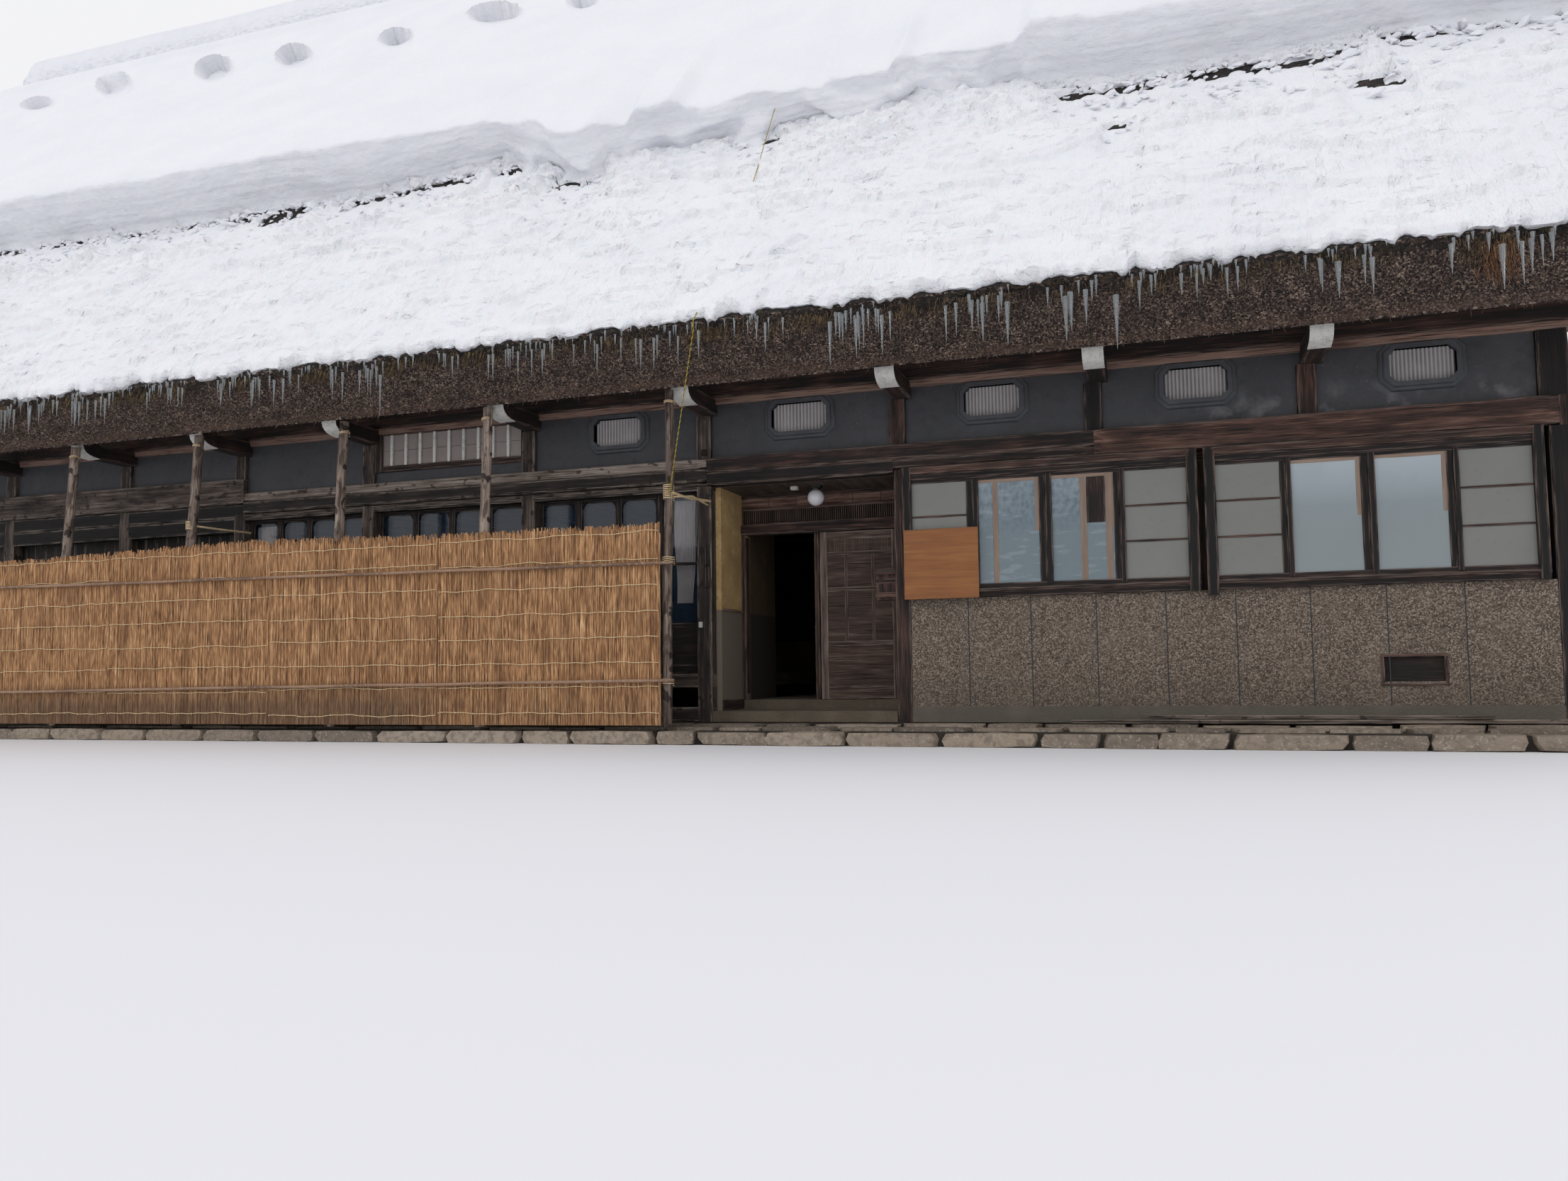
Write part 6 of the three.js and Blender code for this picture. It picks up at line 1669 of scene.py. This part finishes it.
def thin_snow(side, columns, rows):
    build = Build()

    def spot(a, row):
        x0 = (2 * a - 1) * -side
        x = x0 * ROOF_REACH
        foot = step_at(x, side)[0]
        torn = (0.07 * ripple(x, 3, side, 0.5) + 0.09 * ripple(x, 1, side, 0.15)
                + 0.05 * ripple(x, 6, side, 0.06))
        tongue = 0.10 * smooth(ripple(x, 12, side, 1.1), 0.15, 0.5) * ripple(x, 14, side, 0.2)
        lip = 0.03 + max(-0.044, torn + tongue)
        if row in (0, rows):
            up, out = (lip + 0.03, -0.03) if row == 0 else (foot + 0.10, -0.03)
        else:
            share = (row - 1) / (rows - 2)
            up = lip + (foot + 0.08 - lip) * share * (1.25 - 0.25 * share)
            slid = smooth(up, 1.2, 2.6)
            combed = noise_at(x / 0.085, (up + 9) / 1.5, side) + 0.5 * noise_at(x / 0.04, up / 0.8, 3)
            out = (0.070 + 0.020 * ripple(x, up, 2, 0.9) + (0.012 - 0.005 * slid) * combed
                   + 0.006 * ripple(x, up, 7, 0.07))
            ledge = noise_at(x / 1.3, up / 0.5, 20 + side)
            out += 0.045 * smooth(ledge, 0.16, 0.19) * (0.4 + 0.6 * slid)
            out += 0.040 * smooth(noise_at(x / 0.7, up / 0.22, 40), 0.26, 0.30)
            crack = abs(noise_at(x / 2.2, up / 0.30, 60 + side))
            out -= (0.022 * (1 - smooth(crack, 0.0, 0.02)) * smooth(up, 0.9, 1.4)
                    * smooth(ripple(x, up, 66, 1.1), 0.0, 0.2))
            rubble = smooth(up, foot - 1.7, foot - 0.5) * (1 - 0.6 * smooth(x * -side, 0.5, 3.0))
            out += rubble * 0.10 * smooth(ripple(x, up, 31, 0.24), 0.12, 0.20)
            out += (0.35 + 0.65 * rubble) * 0.055 * smooth(ripple(x, up * 1.3, 33, 0.13), 0.20, 0.27)
            gap, swept = bare(x, up, foot, side)
            out = out * (1 - 0.8 * swept) * (1 - gap) - 0.012 * gap
            nose = smooth(up, lip, lip + 0.045)
            limit = 0.084 + max(up, 0.0) * 0.85
            out = min(out, limit) * (0.35 + 0.65 * nose ** 0.6)
            up -= 0.012 * (1 - nose) * (1 if row > 1 else 0)
        x = x0 * verge(on_slope(0, up, 0).z, SNOW_SETBACK)
        if abs(x0) > 0.999:
            x -= math.copysign(0.05 * abs(ripple(up, 3, side, 0.3)), x)
        point = on_slope(x, up, out, side)
        point.y = max(point.y, SNOW_FRONT) if side < 0 else min(point.y, -SNOW_FRONT)
        return point

    blanket(build, columns, rows, spot)
    return build


def deep_snow(side, columns, wall_rows, bands):
    build = Build()
    rows = [("wall", step / wall_rows) for step in range(wall_rows + 1)]
    for low, high, count in bands:
        rows += [("top", low + (high - low) * (step + 1) / count) for step in range(count)]
    rows = [("foot", 0.0)] + rows + [("shelf", 0.5), ("shelf", 1.0), ("end", 1.0)]

    def spot(a, row):
        part, share = rows[row]
        x0 = (2 * a - 1) * -side
        x = x0 * ROOF_REACH
        if part == "shelf":
            edge = on_slope(0, SNOW_END, 0.68, side)
            edge.y += (side * SHELF_Y - edge.y) * share
            edge.z += SHELF_RISE * share + 0.02 * ripple(x, share, side, 0.7)
            edge.x = x0 * verge(edge.z, SNOW_SETBACK)
            return edge
        foot, depth = step_at(x, side)
        chunks = broken(x, side)
        scallop = 0.5 * ripple(x, 6, side, 0.42) + 0.25 * ripple(x, 16, side, 0.14)
        depth += 0.02 * ripple(x, 6, side, 1.3) + 0.04 * scallop
        blocks = chunks * 0.13 * math.tanh(6 * noise_at(x / 0.6, 1.9, side + 9))
        brow = foot + 0.05 + blocks * 0.4 + 0.05 * scallop
        if part == "foot" or part == "end":
            up, out = (foot + 0.10, -0.02) if part == "foot" else (SNOW_END, 0.0)
        elif part == "wall":
            high = share * depth
            layer = 0.016 * noise_at(x / 1.4, high / 0.045, side) + 0.03 * noise_at(x / 0.4, high / 0.25, 4)
            layer += 0.012 * ripple(x, high, side, 0.07)
            slabs = chunks * 0.13 * math.tanh(7 * noise_at(x / 0.5, high / 0.28, side + 30))
            hollow = -0.08 * smooth(share, 0.0, 0.10) * (1 - smooth(share, 0.10, 0.75)) * (1 - chunks)
            rounding = 0.055 * (1 - math.sqrt(max(0.0, 1 - smooth(share, 0.92, 1.0) ** 2)))
            up = foot + (brow - foot) * share - hollow + layer + slabs * (1 - share) * 0.8 + rounding
            out = -0.01 + (depth + 0.01) * (share - 0.015 * smooth(share, 0.93, 1.0))
            skirt = max(0.0, 1 - share / 0.14)
            up -= skirt * skirt * (0.02 + 0.08 * chunks + 0.08 * ripple(x, 21, side, 0.3))
        else:
            start = brow + 0.055
            up = start + (SNOW_END - start) * share
            settled = smooth(up, start, start + 2.2)
            swell = 0.045 * ripple(x, up, side, 2.4) + 0.012 * ripple(x, up, side + 5, 0.45)
            out = depth * (1 - settled) + 0.60 * settled + swell * smooth(up, start, start + 0.8)
            if side < 0:
                trodden = dent(x0 * verge(on_slope(0, up, 0.6).z, SNOW_SETBACK), up)
                out -= (1 - smooth(share, 0.91, 0.96)) * 0.8 * min(trodden, 0.36)
            if share > 0.96:
                out += (0.68 - out) * smooth(share, 0.96, 1.0)
        x = x0 * verge(on_slope(0, up, out).z, SNOW_SETBACK)
        if abs(x0) > 0.999:
            x -= math.copysign(0.06 * abs(ripple(up, out, side, 0.4)), x)
        return on_slope(x, up, out, side)

    blanket(build, columns, len(rows) - 1, spot)
    return build


# Snow: coarse old grains, bright and slightly blue in its shadows, with painted shade in grey flecks on its
# upright faces and on chips of broken crust where it has slid. What has slid is combed down the slope in
# furrows of 55 mm
def snow_finish(name, code, grain_mm, depth_mm, furrow_mm=0.0, wall_shade_share=0.15):
    finish = start_finish(name, code, 0.6, Subsurface_Weight=0.1, Subsurface_Scale=0.02)
    place = add(finish, "ShaderNodeTexCoord").outputs["Object"]
    mottle(finish, "#e0e2e8", 900, 0.35, 0.7, most=0.4)
    if furrow_mm:
        parts = add(finish, "ShaderNodeSeparateXYZ", {0: place})
        mirrored = add(finish, "ShaderNodeMath", {0: parts.outputs[1]}, operation="ABSOLUTE")
        forward = add(finish, "ShaderNodeMath", {0: mirrored, 1: -1.0}, operation="MULTIPLY")
        front_way = add(finish, "ShaderNodeCombineXYZ",
                        {0: parts.outputs[0], 1: forward, 2: parts.outputs[2]})
        laid = add(finish, "ShaderNodeMapping",
                   {"Vector": front_way, "Rotation": (-math.atan2(SLOPE_RISE, SLOPE_RUN), 0, 0)})
        furrows = patches(finish, furrow_mm, 0.3, 0.7, (1, 18, 1), laid)
        strong = add(finish, "ShaderNodeMath", {0: furrows, 1: patches(finish, 1500, 0.42, 0.62)},
                     operation="MULTIPLY")
        emboss(finish, strong, 13)
        emboss(finish, patches(finish, 22, 0.3, 0.7, (1, 14, 1), laid, shift=5), 3)
        # Chips of broken crust: raised in relief, with painted shade on them
        chip_relief_and_shade = patches(finish, 150, 0.635, 0.665, (2.4, 0.8, 1), laid, shift=21, detail=4, most=0.30)
        lay(finish, chip_relief_and_shade, "#d3d6de")
        emboss(finish, chip_relief_and_shade, 18)
    # Painted shade: grey flecks on upright faces, their grains also raised in relief
    upright_face = facing_up(finish, 0.40, 0.10)
    flecks = patches(finish, 45, 0.45, 0.70, (3, 1, 1), shift=15, detail=5)
    wall_grain_shade = add(finish, "ShaderNodeMath", {0: upright_face, 1: flecks}, operation="MULTIPLY")
    lay(finish, wall_grain_shade, "#cacdd6", wall_shade_share)
    emboss(finish, wall_grain_shade, 5)
    emboss(finish, patches(finish, grain_mm, 0.2, 0.8, detail=4), depth_mm)
    roughen(finish, grain_mm * 6, depth_mm * 2.5)
    return finish


slid_snow = snow_finish("slid_old_snow", "#eeeff2", 24, 6, 55)
deep_finish = snow_finish("settled_snow", "#ebecf0", 30, 4)
settle(thin_snow(-1, 700, 92).piece("snow_below_step", slid_snow, crease=70), "snow", "roof_snow_front")
settle(deep_snow(-1, 620, 30, ((0, 0.56, 14), (0.56, 0.95, 56), (0.95, 1.0, 4))).piece(
    "snow_above_step", deep_finish, crease=70), "snow")
settle(thin_snow(1, 300, 44).piece("snow_below_step_back", slid_snow, crease=70), "snow", "roof_snow_back")
settle(deep_snow(1, 300, 14, ((0, 1.0, 30),)).piece("snow_above_step_back", deep_finish, crease=70), "snow")

CAP_HALF, CAP_SHOULDER, CAP_TOP, RIDGE_Z = 0.65, 13.35, 13.95, 13.085
cap = Build()


def cap_point(a, b, c):
    y = (2 * b - 1) * CAP_HALF
    x0 = 2 * a - 1
    crown = math.sqrt(max(0.0, 1 - (y / CAP_HALF) ** 2)) ** 0.8
    top = CAP_SHOULDER - 0.10 + (CAP_TOP - CAP_SHOULDER + 0.06) * crown
    top += 0.03 * ripple(x0 * 14, y, 3, 1.4) - 0.35 * smooth(abs(x0), 0.965, 1.0) ** 2
    low = RIDGE_Z + 0.2 - 1.15 * abs(y)
    z = min(low + (top - low) * c, CAP_TOP)
    wall = 0.04 * ripple(x0 * 14, z, 6, 0.5) + 0.06 * ripple(x0 * 14, z, 2, 0.16) if b in (0.0, 1.0) else 0.0
    x = x0 * verge(z, SNOW_SETBACK + 0.5)
    return x, y - math.copysign(wall + 0.03, y) if b in (0.0, 1.0) else y, z


crust(cap, (240, 10, 3), cap_point)
# Its upright faces carry more painted shade, for the darker wall of the cap
cap_finish = snow_finish("wind_packed_snow", "#e8e9ee", 60, 6, wall_shade_share=0.75)
settle(cap.piece("snow_ridge_cap", cap_finish, crease=70), "snow", "roof_snow_ridge")

# Crumbs of crust that have come off the step and lie on the thin snow below it
random.seed(165)
crumbs, given = grow_tree("crumbs", "radius")
crumb = add(crumbs, "GeometryNodeMeshIcoSphere", {"Radius": given["radius"], "Subdivisions": 1})
plant(crumbs, given, crumb.outputs["Mesh"], deep_finish, (0.09, 0.05, 0.05), (18.0, 18.0, 18.0))
places, sizes, turns = [], [], []
while len(places) < 1500:
    x = random.uniform(-13.1, 13.1)
    foot = step_at(x, -1)[0]
    far = abs(random.gauss(0, 0.13)) if random.random() < 0.40 else abs(random.gauss(0, 0.9))
    if random.random() < 0.6 * broken(x, -1) or far > 2.4:
        continue
    big = random.random() ** 3
    places.append(tuple(on_slope(x, foot - 0.02 - far, 0.035)))
    sizes.append((0.5 + 2.6 * big + random.random() * 0.6, 0.4 + 1.0 * big + random.random() * 0.4,
                  0.4 + 0.7 * big))
    turns.append((math.atan2(SLOPE_RISE, SLOPE_RUN) + random.gauss(0, 0.25), random.gauss(0, 0.3),
                  random.gauss(0, 0.6)))
settle(grown("snow_crumbs", crumbs, seeds_at(places, sizes, turns), radius=0.036), "snow")


# Icicles along the lip of the thatch, in clusters, from a finger's length to an arm's. Each has frozen
# drop by drop, so it hangs straight and tapers, a little uneven.
random.seed(171)
# Clear ice: like glass, a little milky in its core
ice = start_finish("clear_ice", "#d3d8da", 0.10, IOR=1.31, Transmission_Weight=0.80)
roughen(ice, 30, 1)
icicles, given = grow_tree("icicles", "radius")
cone = add(icicles, "GeometryNodeMeshCone", {
    "Vertices": 6, "Side Segments": 3, "Radius Top": 0.0010, "Radius Bottom": given["radius"], "Depth": 1.0})
hung = add(icicles, "GeometryNodeTransform",
           {"Geometry": cone.outputs["Mesh"], "Rotation": (math.pi, 0.0, 0.0)})
plant(icicles, given, hung, ice, (0.005, 0.003, 0.0), (20.0, 20.0, 20.0), 1.0)
places, sizes = [], []
while len(places) < 640:
    x = random.uniform(-12.9, 12.6)
    if ripple(x, 0, 12, 0.5) + 0.15 * (x < 1) < random.uniform(-0.35, 0.28):
        continue
    length = 0.05 + 0.26 * random.random() ** 1.8
    length += 0.16 * random.random() if ripple(x, 0, 30, 1.6) > 0.05 else 0.0
    root = on_slope(x, random.uniform(-0.01, 0.01), random.uniform(0.0, 0.03))
    places.append((root.x, random.uniform(-7.962, -7.925), root.z - length * 0.5 + 0.03))
    girth = random.uniform(0.8, 1.3) * (0.55 + length * (1.8 + 1.7 * smooth(x, 4, 9)))
    sizes.append((girth, girth, length))
settle(grown("icicles", icicles, seeds_at(places, sizes), radius=0.0125), "snow")


# The floor and the light: a plain pale floor, even, matt and nearly white, a bright even sky and one
# large soft lamp high in front.
floor = Build()
floor.put([(-150, -150, 0), (150, -150, 0), (150, 150, 0), (-150, 150, 0)], [(0, 1, 2, 3)])
pale_floor = start_finish("pale_floor", "#ebebee", 0.8)
floor.piece("floor", pale_floor)
world = bpy.data.worlds.new("overcast")
world.use_nodes = True
bpy.context.scene.world = world
sky = world.node_tree.nodes["Background"].inputs
sky["Color"].default_value, sky["Strength"].default_value = tint("#eeeef1"), 1.05
soft_lamp = shown("soft_lamp", bpy.data.lights.new("soft_lamp", "SUN"))
soft_lamp.data.energy, soft_lamp.data.angle = 0.45, math.radians(50)
soft_lamp.rotation_euler = (math.radians(38), 0, math.radians(-18))
